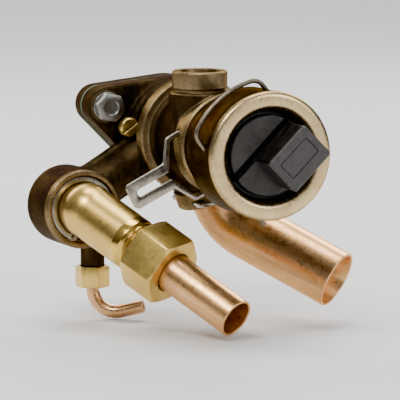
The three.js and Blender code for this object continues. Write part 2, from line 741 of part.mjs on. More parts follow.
// Bent copper pipe with a collar inside the port.
function commonTail() {
  const collar = [
    [10.6, 18.8], [12.1, 18.8], [12.6, 19.3], [12.6, 19.9], [12.1, 20.4], [10.6, 20.4],
  ];
  const run = bentRun({
    start: commonOrigin.clone().addScaledVector(commonDirection, 14.8),
    from: commonDirection,
    before: 9.6,
    radius: 20,
    to: new THREE.Vector3(0.641, -0.641, -0.4226).normalize(),
    after: 40,
  });
  return join(
    tube(run, COMMON_PIPE.radius, 20, COMMON_PIPE.bore),
    turnedIn(commonTurn, collar, 20),
  );
}
addPart("common_tail", copper, commonTail());

// Fork whose legs run backwards, with a tab turned down at the front.
function commonClip() {
  const outer = { half: 13.55, radius: 6 };
  const inner = { half: 11.25, radius: 3.7 };
  const bend = -14; // y of the corner centres
  const outerCorner = outer.half - outer.radius;
  const innerCorner = inner.half - inner.radius;
  const quarter = Math.PI / 2;
  const shape = new THREE.Shape();
  shape.moveTo(-outer.half, 13.5);
  shape.lineTo(-outer.half, bend);
  shape.absarc(-outerCorner, bend, outer.radius, 2 * quarter, 3 * quarter, false);
  shape.lineTo(outerCorner, bend - outer.radius);
  shape.absarc(outerCorner, bend, outer.radius, 3 * quarter, 4 * quarter, false);
  shape.lineTo(outer.half, 13.5);
  shape.lineTo(inner.half + 0.9, 14.2);
  shape.lineTo(inner.half, 13.2);
  shape.lineTo(inner.half, bend);
  shape.absarc(innerCorner, bend, inner.radius, 0, -quarter, true);
  shape.lineTo(-innerCorner, bend - inner.radius);
  shape.absarc(-innerCorner, bend, inner.radius, -quarter, -2 * quarter, true);
  shape.lineTo(-inner.half, 13.2);
  shape.lineTo(-inner.half - 0.9, 14.2);
  shape.closePath();
  const geometry = new THREE.ExtrudeGeometry(shape, {
    depth: 1.6,
    bevelEnabled: false,
    curveSegments: 5,
  });
  const fork = solid(geometry, new THREE.Matrix4().makeTranslation(0, 0, -22.35));
  const tab = box([-5, 5], [-21.4, -19.4], [-26.5, -20.75]);
  return moved(fork.add(tab), commonFrame);
}
addPart("common_clip", stainless, commonClip());

// ---------------------------------------------------------------- heating branch
const branchSealProfile = [
  [7.1, 24.8], [7.8, 24.6], [8.32, 25], [8.32, 26], [7.8, 26.4], [7.1, 26.2],
];
addPart("branch_o_ring", epdm, moved(turned(branchSealProfile, 20), branchShift));

function unionElbow() {
  const inlet = [
    [0, 23.5], [8.1, 23.5], [8.1, 24.5], [7, 24.5], [7, 26.6], [8.1, 26.6], [8.1, 28.95],
    [11.3, 28.95], [11.3, 30.8], [9.8, 30.8], [9.8, ELBOW_STATION], [0, ELBOW_STATION],
  ];
  const outlet = [
    [0, 0], [10.3, 0], [10.3, 24], [10, 25],
    [10, OUTLET_END - 0.6], [9.4, OUTLET_END], [0, OUTLET_END],
  ];
  const knuckle = solid(
    new THREE.SphereGeometry(10.7, 16, 10),
    new THREE.Matrix4().setPosition(elbowCentre),
  );
  return cut(
    join(moved(turned(inlet, 20), branchShift), knuckle, turnedIn(outletFrame, outlet, 20)),
    moved(turned(rod(6, 22, ELBOW_STATION + 1), 14), branchShift),
    turnedIn(outletFrame, rod(6.6, -1, OUTLET_END + 1), 14),
  );
}
addPart("union_elbow", yellowBrass, unionElbow());

// Circlip, its gap at the bottom.
const branchCirclip = cut(
  turned(ring(10.4, 12.45, 31.15, 32.05), 24),
  stationBox([-3, 3], [30, 33], [-14, 0]),
);
addPart("branch_circlip", stainless, moved(branchCirclip, branchShift));

addPart(
  "union_washer",
  fibre,
  turnedIn(outletFrame, ring(6.9, 9.8, OUTLET_END + 0.15, OUTLET_END + 1.6), 18),
);

// Straight copper pipe with a collar at the union.
const heatingTailProfile = [
  [HEATING_PIPE.bore, OUTLET_END + 1.8], [9.8, OUTLET_END + 1.8], [9.8, OUTLET_END + 3.2],
  [HEATING_PIPE.radius, OUTLET_END + 3.4], [HEATING_PIPE.radius, OUTLET_END + 38],
  [HEATING_PIPE.bore, OUTLET_END + 38],
];
addPart("heating_tail", copper, turnedIn(outletFrame, heatingTailProfile, 18));

function unionNut() {
  const bore = [
    [0, OUTLET_END - 12], [10.4, OUTLET_END - 12], [10.4, OUTLET_END + 3.5],
    [7.8, OUTLET_END + 3.5], [7.8, OUTLET_END + 6], [0, OUTLET_END + 6],
  ];
  const hexagon = hexPrism(24.5, OUTLET_END - 10.5, OUTLET_END + 5, 1.2);
  return moved(cut(hexagon, turnedLocal(bore, 20)), outletFrame);
}
addPart("union_nut", yellowBrass, unionNut());

// ---------------------------------------------------------------- drain
function drainNut() {
  const bore = [[0, 15], [4.8, 15], [4.8, 21], [2.8, 21], [2.8, 26], [0, 26]];
  return moved(cut(hexPrism(11.5, 16.5, 24.5, 0.6), turnedLocal(bore)), drainFrame);
}
addPart("drain_nut", yellowBrass, drainNut());

// Bent copper spout with a collar at its top.
function drainSpout() {
  const top = 19.9; // distance down the drain
  const run = bentRun({
    start: drainOrigin.clone().addScaledVector(down, top),
    from: down,
    before: 5,
    radius: 9,
    to: new THREE.Vector3(0.8, -0.55, 0.24).normalize(),
    after: 9,
  });
  return join(tube(run, 2.5, 10, 1.8), turnedIn(drainFrame, ring(2.1, 4.5, top, 20.8), 10));
}
addPart("drain_spout", copper, drainSpout());

export default assembly;
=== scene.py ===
"""A motorised valve in cast brass, with its covers, clips, actuator, union elbow and pipe tails.

Shapes are written in millimetres. The spindle lies on the Y axis, +Z is up, and the cup and
actuator face -Y. A station is a distance forwards from the back of the rear cover, so station s
is y = -s. Outlines across the spindle are drawn in X and Z.
"""

import json
import math

import bmesh
import bpy
from mathutils import Matrix, Vector


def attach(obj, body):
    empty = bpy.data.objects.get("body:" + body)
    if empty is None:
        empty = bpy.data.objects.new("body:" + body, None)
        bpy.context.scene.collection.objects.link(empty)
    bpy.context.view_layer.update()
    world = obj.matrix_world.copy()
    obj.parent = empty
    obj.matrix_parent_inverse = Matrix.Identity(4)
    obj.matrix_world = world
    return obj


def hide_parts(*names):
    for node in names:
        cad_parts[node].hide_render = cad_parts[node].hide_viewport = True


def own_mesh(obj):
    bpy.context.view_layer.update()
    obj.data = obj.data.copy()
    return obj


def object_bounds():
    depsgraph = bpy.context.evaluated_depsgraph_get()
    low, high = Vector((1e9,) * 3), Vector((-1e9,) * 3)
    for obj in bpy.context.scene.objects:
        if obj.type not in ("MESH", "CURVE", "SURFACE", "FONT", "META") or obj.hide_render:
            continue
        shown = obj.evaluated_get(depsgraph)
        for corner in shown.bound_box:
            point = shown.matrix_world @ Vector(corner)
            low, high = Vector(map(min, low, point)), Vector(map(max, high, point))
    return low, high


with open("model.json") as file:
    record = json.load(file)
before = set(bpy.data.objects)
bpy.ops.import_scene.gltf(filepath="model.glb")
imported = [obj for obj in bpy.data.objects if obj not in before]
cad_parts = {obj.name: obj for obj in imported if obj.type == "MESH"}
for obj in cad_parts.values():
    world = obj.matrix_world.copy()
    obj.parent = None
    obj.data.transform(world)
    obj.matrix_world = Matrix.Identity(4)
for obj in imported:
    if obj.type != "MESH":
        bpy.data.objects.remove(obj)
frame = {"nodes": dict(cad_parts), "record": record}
cad_lo, cad_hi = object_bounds()
scene = bpy.context.scene
MM = 0.001

# --- driving dimensions
DUCT_STATION = 17.5  # duct from the body to the branch socket
COMMON_STATION = 39.0  # common port, below the body
COMMON_TILT = math.radians(20)
BRANCH_X, BRANCH_Z = -44.1, -26.7
DRAIN_ROOT = Vector((BRANCH_X + 7.5, -22.0, BRANCH_Z - 6.5))
DRAIN_REACH = 19.9  # from the drain's root to the collar of its spout
ELBOW = Vector((BRANCH_X, -38.0, BRANCH_Z))
OUTLET_END = 40.0  # from the elbow's centre to its seat
OUTLET_DIR = Vector((0.462, -0.766, -0.4467)).normalized()
CLIP_PULL = Vector((-0.894, 0, -0.449)).normalized()
BOLTS = ((-28.0, 10.0), (28.0, -10.0))  # x, z
EAR_RADIUS = 7.6
FLANGE_RADIUS = 20.5
BLOCK_U, BLOCK_V = 10.0, 7.75  # half sizes of the connector block
TERMINALS = [-4.5 + 3 * i for i in range(4)]  # places across the block


# --- shapes: (vertices, faces)
def outward(verts, faces):
    """The shape with its faces turned to enclose a positive volume."""
    total = 0.0
    for face in faces:
        first = verts[face[0]]
        for i in range(1, len(face) - 1):
            total += first.dot(verts[face[i]].cross(verts[face[i + 1]]))
    return (verts, [tuple(reversed(face)) for face in faces]) if total < 0 else (verts, faces)


def moved(shape, place):
    verts, faces = shape
    return outward([place @ p for p in verts], faces)


def rect(x0, x1, y0, y1):
    return [(x0, y0), (x1, y0), (x1, y1), (x0, y1)]


def rod(radius, start, end):
    return [(0, start), (radius, start), (radius, end), (0, end)]


def washer(inner, outer, start, end):
    return [(inner, start), (outer, start), (outer, end), (inner, end)]


def arc(x, y, radius, start, end, steps=8):
    angles = [start + (end - start) * i / steps for i in range(steps + 1)]
    return [(x + radius * math.cos(a), y + radius * math.sin(a)) for a in angles]


def rounded(outline, radius=0.3, steps=3, reach=0.45):
    """An outline with its corners rounded; an arc takes up at most reach of either side.

    radius is one number, or a list with one for each corner.
    """
    points = [Vector(p) for p in outline]
    out = []
    for i, corner in enumerate(points):
        before, after = points[i - 1] - corner, points[(i + 1) % len(points)] - corner
        room = min(before.length, after.length)
        wanted = radius[i] if isinstance(radius, list) else radius
        if wanted <= 0 or room < 1e-6:
            out.append(tuple(corner))
            continue
        before, after = before / before.length, after / after.length
        angle = math.acos(max(-1, min(1, before.dot(after))))
        turn = math.pi - angle
        if turn < 0.12 or angle < 0.05:
            out.append(tuple(corner))
            continue
        inset = min(wanted * math.tan(turn / 2), reach * room)
        fitted = inset / math.tan(turn / 2)
        centre = corner + (before + after).normalized() * (fitted / math.sin(angle / 2))
        start, end = corner + before * inset - centre, corner + after * inset - centre
        for k in range(steps + 1):
            share = k / steps
            out.append(tuple(
                centre
                + start * (math.sin((1 - share) * turn) / math.sin(turn))
                + end * (math.sin(share * turn) / math.sin(turn))
            ))
    return out


def lathe(profile, seg=96):
    """A closed profile of (radius, y) spun about the local Y axis."""
    verts, faces, rings = [], [], []
    for radius, y in profile:
        if radius < 1e-5:
            rings.append([len(verts)])
            verts.append(Vector((0, y, 0)))
        else:
            rings.append(list(range(len(verts), len(verts) + seg)))
            for i in range(seg):
                a = 2 * math.pi * i / seg
                verts.append(Vector((radius * math.cos(a), y, radius * math.sin(a))))
    for k, here in enumerate(rings):
        there = rings[(k + 1) % len(rings)]
        if len(here) == 1 and len(there) == 1:
            continue
        for i in range(seg):
            j = (i + 1) % seg
            if len(here) == 1:
                faces.append((here[0], there[i], there[j]))
            elif len(there) == 1:
                faces.append((here[i], there[0], here[j]))
            else:
                faces.append((here[i], there[i], there[j], here[j]))
    return outward(verts, faces)


def spun(profile, corner, seg, steps):
    """A lathe shape with its corners rounded, apart from those on the axis."""
    corners = [0 if radius < 1e-5 else corner for radius, _ in profile]
    return lathe(rounded(profile, corners, steps), seg)


def turned(profile, corner=0.25, seg=96, steps=3):
    """Turned about the spindle axis from (radius, station)."""
    return spun([(radius, -station) for radius, station in profile], corner, seg, steps)


def turned_at(profile, axis, corner=0.25, seg=72, steps=3):
    """Turned about the local Y of a frame from (radius, y)."""
    return moved(spun(profile, corner, seg, steps), axis)


def sharp(profile, axis, seg=72):
    return turned_at(profile, axis, corner=0, seg=seg)


def prism(outline, z0, z1, place=None, bevel=0.3, steps=2, both_rims=True):
    """An outline in local XY raised from z0 to z1, both rims or only the z1 rim bevelled."""
    bm = bmesh.new()
    base = bm.faces.new([bm.verts.new((x, y, z0)) for x, y in outline])
    raised = bmesh.ops.extrude_face_region(bm, geom=[base])
    top = [e for e in raised["geom"] if isinstance(e, bmesh.types.BMVert)]
    bmesh.ops.translate(bm, verts=top, vec=(0, 0, z1 - z0))
    bmesh.ops.recalc_face_normals(bm, faces=bm.faces[:])
    if bevel > 0:
        rim = [
            e
            for e in bm.edges
            if (both_rims or all(abs(v.co.z - z1) < 1e-6 for v in e.verts))
            and abs(e.verts[0].co.z - e.verts[1].co.z) < 1e-6
            and any(abs(f.normal.z) > 0.9 for f in e.link_faces)
        ]
        bmesh.ops.bevel(bm, geom=rim, offset=bevel, segments=steps, profile=0.5,
                        affect="EDGES", clamp_overlap=True)
    bm.verts.index_update()
    verts = [v.co.copy() for v in bm.verts]
    faces = [tuple(v.index for v in f.verts) for f in bm.faces]
    bm.free()
    if place is not None:
        verts = [place @ p for p in verts]
    return outward(verts, faces)


def loft(rings, caps=None):
    """Skins rings of points: closed on itself, or ended by fans about two cap centres."""
    seg, count = len(rings[0]), len(rings)
    verts = [p for points in rings for p in points]
    faces = []
    for k in range(count - 1 if caps else count):
        here, there = k * seg, (k + 1) % count * seg
        for i in range(seg):
            j = (i + 1) % seg
            faces.append((here + i, there + i, there + j, here + j))
    if caps:
        last, centre = (count - 1) * seg, len(verts)
        verts += caps
        faces += [(i, (i + 1) % seg, centre) for i in range(seg)]
        faces += [(last + (i + 1) % seg, last + i, centre + 1) for i in range(seg)]
    return outward(verts, faces)


def frames_along(points):
    """Parallel-transport frames along a path: (point, normal, binormal)."""
    tangents = []
    for i, here in enumerate(points):
        if i == 0:
            tangent = points[1] - here
        elif i == len(points) - 1:
            tangent = here - points[-2]
        else:
            tangent = (here - points[i - 1]).normalized() + (points[i + 1] - here).normalized()
        tangents.append(tangent.normalized())
    up = Vector((0, 0, 1)) if abs(tangents[0].z) < 0.9 else Vector((1, 0, 0))
    normal = (up - tangents[0] * up.dot(tangents[0])).normalized()
    out = []
    for i, tangent in enumerate(tangents):
        if i:
            normal = tangents[i - 1].rotation_difference(tangent) @ normal
            normal = (normal - tangent * normal.dot(tangent)).normalized()
        out.append((points[i], normal.copy(), tangent.cross(normal)))
    return out


def tube(path, outer, inner=None, seg=48, edge=0.15, oval=None):
    """A solid or hollow round bar along a path, its end rims eased.

    oval gives the width ratio at each point of the path once the two rim points are added.
    """
    first, last = (path[1] - path[0]).normalized(), (path[-1] - path[-2]).normalized()
    path = ([path[0], path[0] + first * edge] + path[1:-1]
            + [path[-1] - last * edge, path[-1]])
    frames = frames_along(path)
    end = len(path) - 1
    loop = [(0, outer - edge)] + [(i, outer) for i in range(1, end)] + [(end, outer - edge)]
    if inner is not None:
        ease = min(edge * 0.6, (outer - inner) * 0.3)
        loop += [(end, inner + ease)] + [(i, inner) for i in range(end - 1, 0, -1)]
        loop += [(0, inner + ease)]
    rings = []
    for i, radius in loop:
        centre, normal, side = frames[i]
        width = oval[i] if oval else 1.0
        angles = [2 * math.pi * j / seg for j in range(seg)]
        rings.append([centre + normal * (radius * math.cos(a))
                      + side * (radius * width * math.sin(a)) for a in angles])
    return loft(rings, [path[0].copy(), path[-1].copy()] if inner is None else None)


def threaded(radius, depth, pitch, start, end, seg, step, hand=1):
    """A helical thread about local Y, closed by flat ends; hand -1 is left-handed."""
    count = int((end - start) / step)
    rings = []
    for k in range(count + 1):
        y = start + (end - start) * k / count
        fade = min(1.0, (y - start) / (pitch * 0.9), (end - y) / (pitch * 0.9))
        points = []
        for j in range(seg):
            around = j / seg
            wave = abs((y / pitch + hand * around) % 1.0 * 2 - 1)
            groove = min(max((wave - 0.12) / 0.76, 0), 1)
            here = radius - depth * groove * fade - depth * 0.5 * (1 - fade)
            a = around * 2 * math.pi
            points.append(Vector((here * math.cos(a), y, here * math.sin(a))))
        rings.append(points)
    return loft(rings, [Vector((0, start, 0)), Vector((0, end, 0))])


def bent(start, dir0, before, radius, dir1, after, steps):
    """A path that runs before, turns by one arc from dir0 to dir1, and runs on."""
    dir0, dir1 = dir0.normalized(), dir1.normalized()
    angle = dir0.angle(dir1)
    side = (dir1 - dir0 * dir1.dot(dir0)).normalized()
    foot = start + dir0 * before
    path = [start.copy()]
    for i in range(steps + 1):
        a = angle * i / steps
        path.append(foot + dir0 * (radius * math.sin(a)) + side * (radius * (1 - math.cos(a))))
    path.append(path[-1] + dir1 * after)
    return path


# --- frames: a name in _AXIS has its Y along the axis, a name in _PLANE has its XY in the plane
def along(direction, origin):
    turn = Vector((0, 1, 0)).rotation_difference(Vector(direction).normalized())
    return Matrix.Translation(Vector(origin)) @ turn.to_matrix().to_4x4()


def plane(across, up, origin):
    place = Matrix((across, up, across.cross(up))).transposed().to_4x4()
    place.translation = Vector(origin)
    return place


SPINDLE_PLANE = plane(Vector((1, 0, 0)), Vector((0, 0, 1)), (0, 0, 0))  # local Z is the station
SOCKET_AXIS = Matrix.Translation((BRANCH_X, 0, BRANCH_Z))
SOCKET_PLANE = SOCKET_AXIS @ SPINDLE_PLANE
DUCT_DIR = Vector((BRANCH_X, 0, BRANCH_Z)).normalized()
DUCT_LENGTH = math.hypot(BRANCH_X, BRANCH_Z)
DUCT_AXIS = along(DUCT_DIR, (0, -DUCT_STATION, 0))
WEB_PLANE = plane(DUCT_DIR, Vector((-DUCT_DIR.z, 0, DUCT_DIR.x)), (0, -DUCT_STATION, 0))
DRAIN_AXIS = along((0, 0, -1), DRAIN_ROOT)
COMMON_PLANE = (Matrix.Translation((0, -COMMON_STATION, 0))
                @ Matrix.Rotation(-COMMON_TILT, 4, "Y"))
COMMON_AXIS = COMMON_PLANE @ Matrix.Rotation(-math.pi / 2, 4, "X")
COMMON_DIR = Vector((math.sin(COMMON_TILT), 0, -math.cos(COMMON_TILT)))
PIPE_DIR = Vector((0.641, -0.641, -0.4226)).normalized()
PIPE_AXIS = along(PIPE_DIR, (12, -45, -42))
EXCHANGER_AXIS = along((0, 0, 1), (-7, -58.0, 0))
OUTLET_AXIS = along(OUTLET_DIR, ELBOW)
WIRE_PLANE = plane(Vector((0.777, 0, 0.629)), Vector((-0.629, 0, 0.777)), (0, -103.6, 0))
CLIP_PLANE = plane(Vector((-CLIP_PULL.z, 0, CLIP_PULL.x)), CLIP_PULL, (0, -66.0, 0))
BLOCK_PLANE = plane(Vector((1, 0, 1)).normalized(), Vector((1, 0, -1)).normalized(), (7, 0, 0))
PLUG_AXIS = Matrix.Translation((-21.2, 0, 2.4))
FORWARD = Matrix.Rotation(math.pi, 4, "X")  # turns local Y to run with the stations
BOLT_AXES = [Matrix.Translation((x, 0, z)) @ FORWARD for x, z in BOLTS]


# --- objects
def mesh_object(name, *shapes):
    mesh = bpy.data.meshes.new(name)
    verts, faces = [], []
    for shape_verts, shape_faces in shapes:
        base = len(verts)
        verts += [tuple(p * MM) for p in shape_verts]
        faces += [tuple(i + base for i in face) for face in shape_faces]
    mesh.from_pydata(verts, [], faces)
    mesh.validate()
    part = bpy.data.objects.new(name, mesh)
    scene.collection.objects.link(part)
    return part


def piece(node, *shapes):
    return mesh_object(f"{node}_fin", *shapes)


def discard(part):
    mesh = part.data
    bpy.data.objects.remove(part)
    bpy.data.meshes.remove(mesh)


def modify(part, kind, **settings):
    modifier = part.modifiers.new(kind.lower(), kind)
    for name, value in settings.items():
        setattr(modifier, name, value)


def evaluated_mesh(part, keep_layers=False):
    """The mesh with its modifiers applied; the modifiers are taken off the object."""
    bpy.context.view_layer.update()
    graph = bpy.context.evaluated_depsgraph_get()
    mesh = bpy.data.meshes.new_from_object(
        part.evaluated_get(graph), preserve_all_data_layers=keep_layers, depsgraph=graph)
    part.modifiers.clear()
    return mesh


def swap_mesh(part, mesh):
    old = part.data
    part.data = mesh
    bpy.data.meshes.remove(old)


def boolean(part, operation, shapes):
    """Joins or cuts with closed shapes, one after the other."""
    for shape in shapes:
        cutter = mesh_object("cutter", shape)
        # the exact solver stands in where the manifold solver leaves nothing
        for solver in ("MANIFOLD", "EXACT"):
            modify(part, "BOOLEAN", operation=operation, object=cutter, solver=solver)
            mesh = evaluated_mesh(part)
            if len(mesh.polygons) > 3:
                swap_mesh(part, mesh)
                break
            bpy.data.meshes.remove(mesh)
        discard(cutter)


def cut(part, *shapes):
    boolean(part, "DIFFERENCE", shapes)


def join(part, *shapes):
    boolean(part, "UNION", shapes)


def keep(part, *shapes):
    boolean(part, "INTERSECT", shapes)


def clipped(shape, limit):
    """What two shapes have in common, as a shape."""
    part = mesh_object("clipped", shape)
    keep(part, limit)
    verts = [v.co / MM for v in part.data.vertices]
    faces = [tuple(p.vertices) for p in part.data.polygons]
    discard(part)
    return outward(verts, faces)


def soft_cast(part, voxel, rounds, ratio):
    """Fuses the raw shapes of a casting into one skin with soft fillets."""
    modify(part, "REMESH", mode="VOXEL", voxel_size=voxel * MM, adaptivity=0.0)
    modify(part, "SMOOTH", factor=0.5, iterations=rounds)
    modify(part, "DECIMATE", ratio=ratio)
    swap_mesh(part, evaluated_mesh(part, keep_layers=True))


def weld(part, distance):
    """Takes out the slivers that cuts and bevels leave, unless that would open the mesh."""
    bm = bmesh.new()
    bm.from_mesh(part.data)
    bmesh.ops.remove_doubles(bm, verts=bm.verts, dist=distance * MM)
    if not any(e.is_boundary for e in bm.edges):
        bm.to_mesh(part.data)
    bm.free()


def edge_bevel(part, width):
    weld(part, 0.004)
    modify(part, "BEVEL", width=width * MM, segments=2, limit_method="ANGLE",
           angle_limit=math.radians(28), use_clamp_overlap=True, miter_outer="MITER_ARC")
    swap_mesh(part, evaluated_mesh(part, keep_layers=True))


made = set()
record = frame["record"]
NODE_BODY = {
    node: body for body, members in record["behaviour"]["bodies"].items() for node in members}


def finish(part, material, angle=32):
    """Gives a piece its look and stands it in the frame for the CAD node it is named after."""
    node = part.name.removesuffix("_fin")
    part.data.materials.clear()
    part.data.materials.append(material)
    for face in part.data.polygons:
        face.material_index = 0
    weld(part, 0.0012)
    part.data.shade_smooth()
    part.data.set_sharp_from_angle(angle=math.radians(angle))
    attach(part, NODE_BODY[node])
    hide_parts(node)
    made.add(node)


# --- shader kit
class Value:
    """A node's output; arithmetic on it adds math nodes."""

    def __init__(self, graph, socket):
        self.graph, self.socket = graph, socket

    def __add__(self, other):
        return self.graph.math("ADD", self, other)

    def __radd__(self, other):
        return self.graph.math("ADD", other, self)

    def __sub__(self, other):
        return self.graph.math("SUBTRACT", self, other)

    def __rsub__(self, other):
        return self.graph.math("SUBTRACT", other, self)

    def __mul__(self, other):
        return self.graph.math("MULTIPLY", self, other)

    def vector(self, operation, *others):
        output = "Value" if operation in ("DOT_PRODUCT", "LENGTH") else 0
        return self.graph.add("ShaderNodeVectorMath", output, dict(enumerate((self, *others))),
                              operation=operation)

    def ramp(self, zero, one, out=(0.0, 1.0)):
        """A smooth step, from out[0] where the value is zero to out[1] where it is one."""
        return self.graph.add("ShaderNodeMapRange", 0, dict(enumerate((self, zero, one, *out))),
                              interpolation_type="SMOOTHSTEP", clamp=True)

    def between(self, start, end, soft=0.12):
        return (self.ramp(zero=start - soft, one=start + soft)
                * self.ramp(zero=end + soft, one=end - soft))

    def noise(self, scale, detail=4.0, rough=0.55, distort=0.0, line=False):
        """Noise over a vector, or over a single number when line is set."""
        inputs = {"W" if line else "Vector": self, "Scale": scale, "Detail": detail,
                  "Roughness": rough, "Distortion": distort}
        return self.graph.add("ShaderNodeTexNoise", "Fac", inputs,
                              noise_dimensions="1D" if line else "3D")

    def voronoi(self, scale):
        return self.graph.add("ShaderNodeTexVoronoi", "Distance",
                              {"Vector": self, "Scale": scale})

    def split(self):
        x = self.graph.add("ShaderNodeSeparateXYZ", 0, {0: self})
        return [Value(self.graph, socket) for socket in x.socket.node.outputs]

    def polar(self):
        """(distance from the local Y axis, place along it)"""
        x, y, z = self.split()
        return self.graph.math("SQRT", x * x + z * z), y


class Graph:
    def __init__(self, tree):
        self.tree = tree
        tree.nodes.clear()

    def put(self, socket, value):
        if isinstance(value, Value):
            self.tree.links.new(value.socket, socket)
            return
        if isinstance(value, tuple) and len(value) == 3 and socket.type == "RGBA":
            value = (*value, 1.0)
        socket.default_value = value

    def add(self, kind, output=0, inputs={}, **attributes):
        node = self.tree.nodes.new(kind)
        for name, value in attributes.items():
            setattr(node, name, value)
        for key, value in inputs.items():
            self.put(node.inputs[key], value)
        return Value(self, node.outputs[output])

    def math(self, operation, *values, clamp=False):
        return self.add("ShaderNodeMath", 0, dict(enumerate(values)), operation=operation,
                        use_clamp=clamp)


class Surface(Graph):
    """A material with one principled shader."""

    def __init__(self, name):
        self.material = bpy.data.materials.new(name)
        self.material.use_nodes = True
        super().__init__(self.material.node_tree)
        self.output = self.tree.nodes.new("ShaderNodeOutputMaterial")
        self.shader = self.add("ShaderNodeBsdfPrincipled")
        self.put(self.output.inputs["Surface"], self.shader)

    def set(self, **inputs):
        for name, value in inputs.items():
            self.put(self.shader.socket.node.inputs[name.replace("_", " ")], value)

    def mix(self, amount, color, other):
        return self.add("ShaderNodeMix", 2, {0: amount, 6: color, 7: other}, data_type="RGBA",
                        clamp_factor=True)

    def coords(self, place=None, stretch=None):
        """Millimetres in the object's frame, or in a local one."""
        where = self.add("ShaderNodeTexCoord", "Object")
        vec = self.add("ShaderNodeVectorMath", 0, {0: where, "Scale": 1000.0}, operation="SCALE")
        if place is not None:
            inverse = place.inverted()
            vec = self.add("ShaderNodeMapping", 0, {
                "Rotation": inverse.to_3x3().to_euler("XYZ"), "Location": inverse.translation,
                "Vector": vec})
        return vec.vector("MULTIPLY", stretch) if stretch else vec

    def normal(self):
        return self.add("ShaderNodeNewGeometry", "Normal")

    def edge(self, radius):
        """(mask of worn edges, normal with soft edges)"""
        soft = self.add("ShaderNodeBevel", 0, {"Radius": radius * MM}, samples=4)
        facing = soft.vector("DOT_PRODUCT", self.normal())
        away = self.math("SUBTRACT", 1.0, facing, clamp=True)
        return away.ramp(zero=0.005, one=0.12), soft

    def openness(self, distance):
        return self.add("ShaderNodeAmbientOcclusion", "AO", {"Distance": distance * MM},
                        samples=4)

    def bump(self, height, strength, distance, normal=None):
        inputs = {"Strength": strength, "Distance": distance * MM, "Height": height}
        if normal is not None:
            inputs["Normal"] = normal
        return self.add("ShaderNodeBump", 0, inputs)


def scaled(color, factor):
    return tuple(c * factor for c in color)


# --- metals
def metal(name, tones, rough, shade_and_grime, wear, relief=1.0, metallic=1.0, grain=0.0, spot=None,
          detail=None, marks=None, draw=None, tint=None):
    """A metal with patches of tone, stains, grimy painted shade in its corners, rubbed edges and a
    fine skin.

    detail adds to the colour and gives a mask of machined metal, or None.
    marks is a frame whose Y is the turning axis, or True for the spindle axis; draw is a frame
    whose Y is the way the metal was drawn; grain is the roughness of a cast skin.
    """
    mat = Surface(name)
    base, dark, stain, bright = tones
    vec = mat.coords()
    big = vec.noise(scale=0.09, detail=5, rough=0.6, distort=0.4)
    mid = vec.noise(scale=0.55, detail=6, rough=0.62, distort=0.2)
    fine = vec.noise(scale=3.5, detail=5, rough=0.7)
    color = mat.mix(big.ramp(zero=0.36, one=0.66), base, dark)
    stained = mid.ramp(zero=0.5, one=0.72) * (0.5 * (0.5 + 0.5 * relief))
    color = mat.mix(stained, color, stain)
    color = mat.mix(fine.ramp(zero=0.45, one=0.75) * 0.18, color, dark)
    if spot:
        cells = vec.voronoi(scale=0.35)
        patches = vec.noise(scale=1.3, detail=3)
        spots = cells.ramp(zero=0.16, one=0.05) * patches.ramp(zero=0.48, one=0.62)
        color = mat.mix(spots * 0.6, color, spot)
    machined = None
    if detail:
        color, machined = detail(mat, color, vec, big, mid)
    # painted shade with grimy build-up: hollows found by ambient occlusion are darkened and made
    # rougher
    opened = mat.openness(3.5)
    hollow_shade_and_grime = opened.ramp(zero=0.85, one=0.25) * shade_and_grime
    hollow_shade_and_grime = hollow_shade_and_grime * mid.ramp(zero=0.3, one=0.55, out=(0.55, 1.0))
    color = mat.mix(hollow_shade_and_grime, color, scaled(dark, 0.25))
    worn, normal = mat.edge(0.45)
    worn = worn * vec.noise(scale=0.9).ramp(zero=0.34, one=0.6, out=(0.25, 1.0))
    worn = worn * opened.ramp(zero=0.35, one=0.8) * wear
    color = mat.mix(worn, color, bright)

    gloss = (rough + (mid - 0.5) * 0.35 + (fine - 0.5) * 0.22) + hollow_shade_and_grime * 0.35 - worn * 0.08
    if machined is not None:
        gloss = gloss - machined * 0.14
    if draw is not None:
        lines = mat.coords(draw, (1.0, 0.03, 1.0)).noise(scale=5, rough=0.7)
        gloss = gloss + (lines - 0.5) * 0.3
    gloss = mat.math("MAXIMUM", mat.math("MINIMUM", gloss, 0.95), 0.12)

    normal = mat.bump(mid, strength=0.25 * relief, distance=0.12, normal=normal)
    normal = mat.bump(fine, strength=(0.18 + grain) * relief, distance=0.06 + grain * 0.12,
                      normal=normal)
    if grain:
        skin = vec.noise(scale=1.5, detail=6, rough=0.75)
        pits = vec.voronoi(scale=0.75).ramp(zero=0.22, one=0.02)
        pits = pits * vec.noise(scale=0.4, detail=2).ramp(zero=0.5, one=0.6)
        skin = skin - pits * 0.9
        if machined is not None:
            skin = skin * (1.0 - machined * 0.93)
        normal = mat.bump(skin, strength=min(1.0, 0.5 + grain), distance=0.2 * grain + 0.06,
                          normal=normal)
    if draw is not None:
        normal = mat.bump(lines, strength=0.2, distance=0.03, normal=normal)
    if marks is not None:
        radius, y = mat.coords(None if marks is True else marks).polar()
        rings = (y.noise(scale=3.2, rough=0.7, line=True)
                 + radius.noise(scale=3.2, rough=0.7, line=True))
        if machined is not None:
            rings = rings * machined
        normal = mat.bump(rings, strength=0.42, distance=0.035, normal=normal)
    mat.set(Base_Color=color, Metallic=metallic, Roughness=gloss, Normal=normal)
    if tint:
        mat.set(Specular_Tint=tint)
    return mat.material


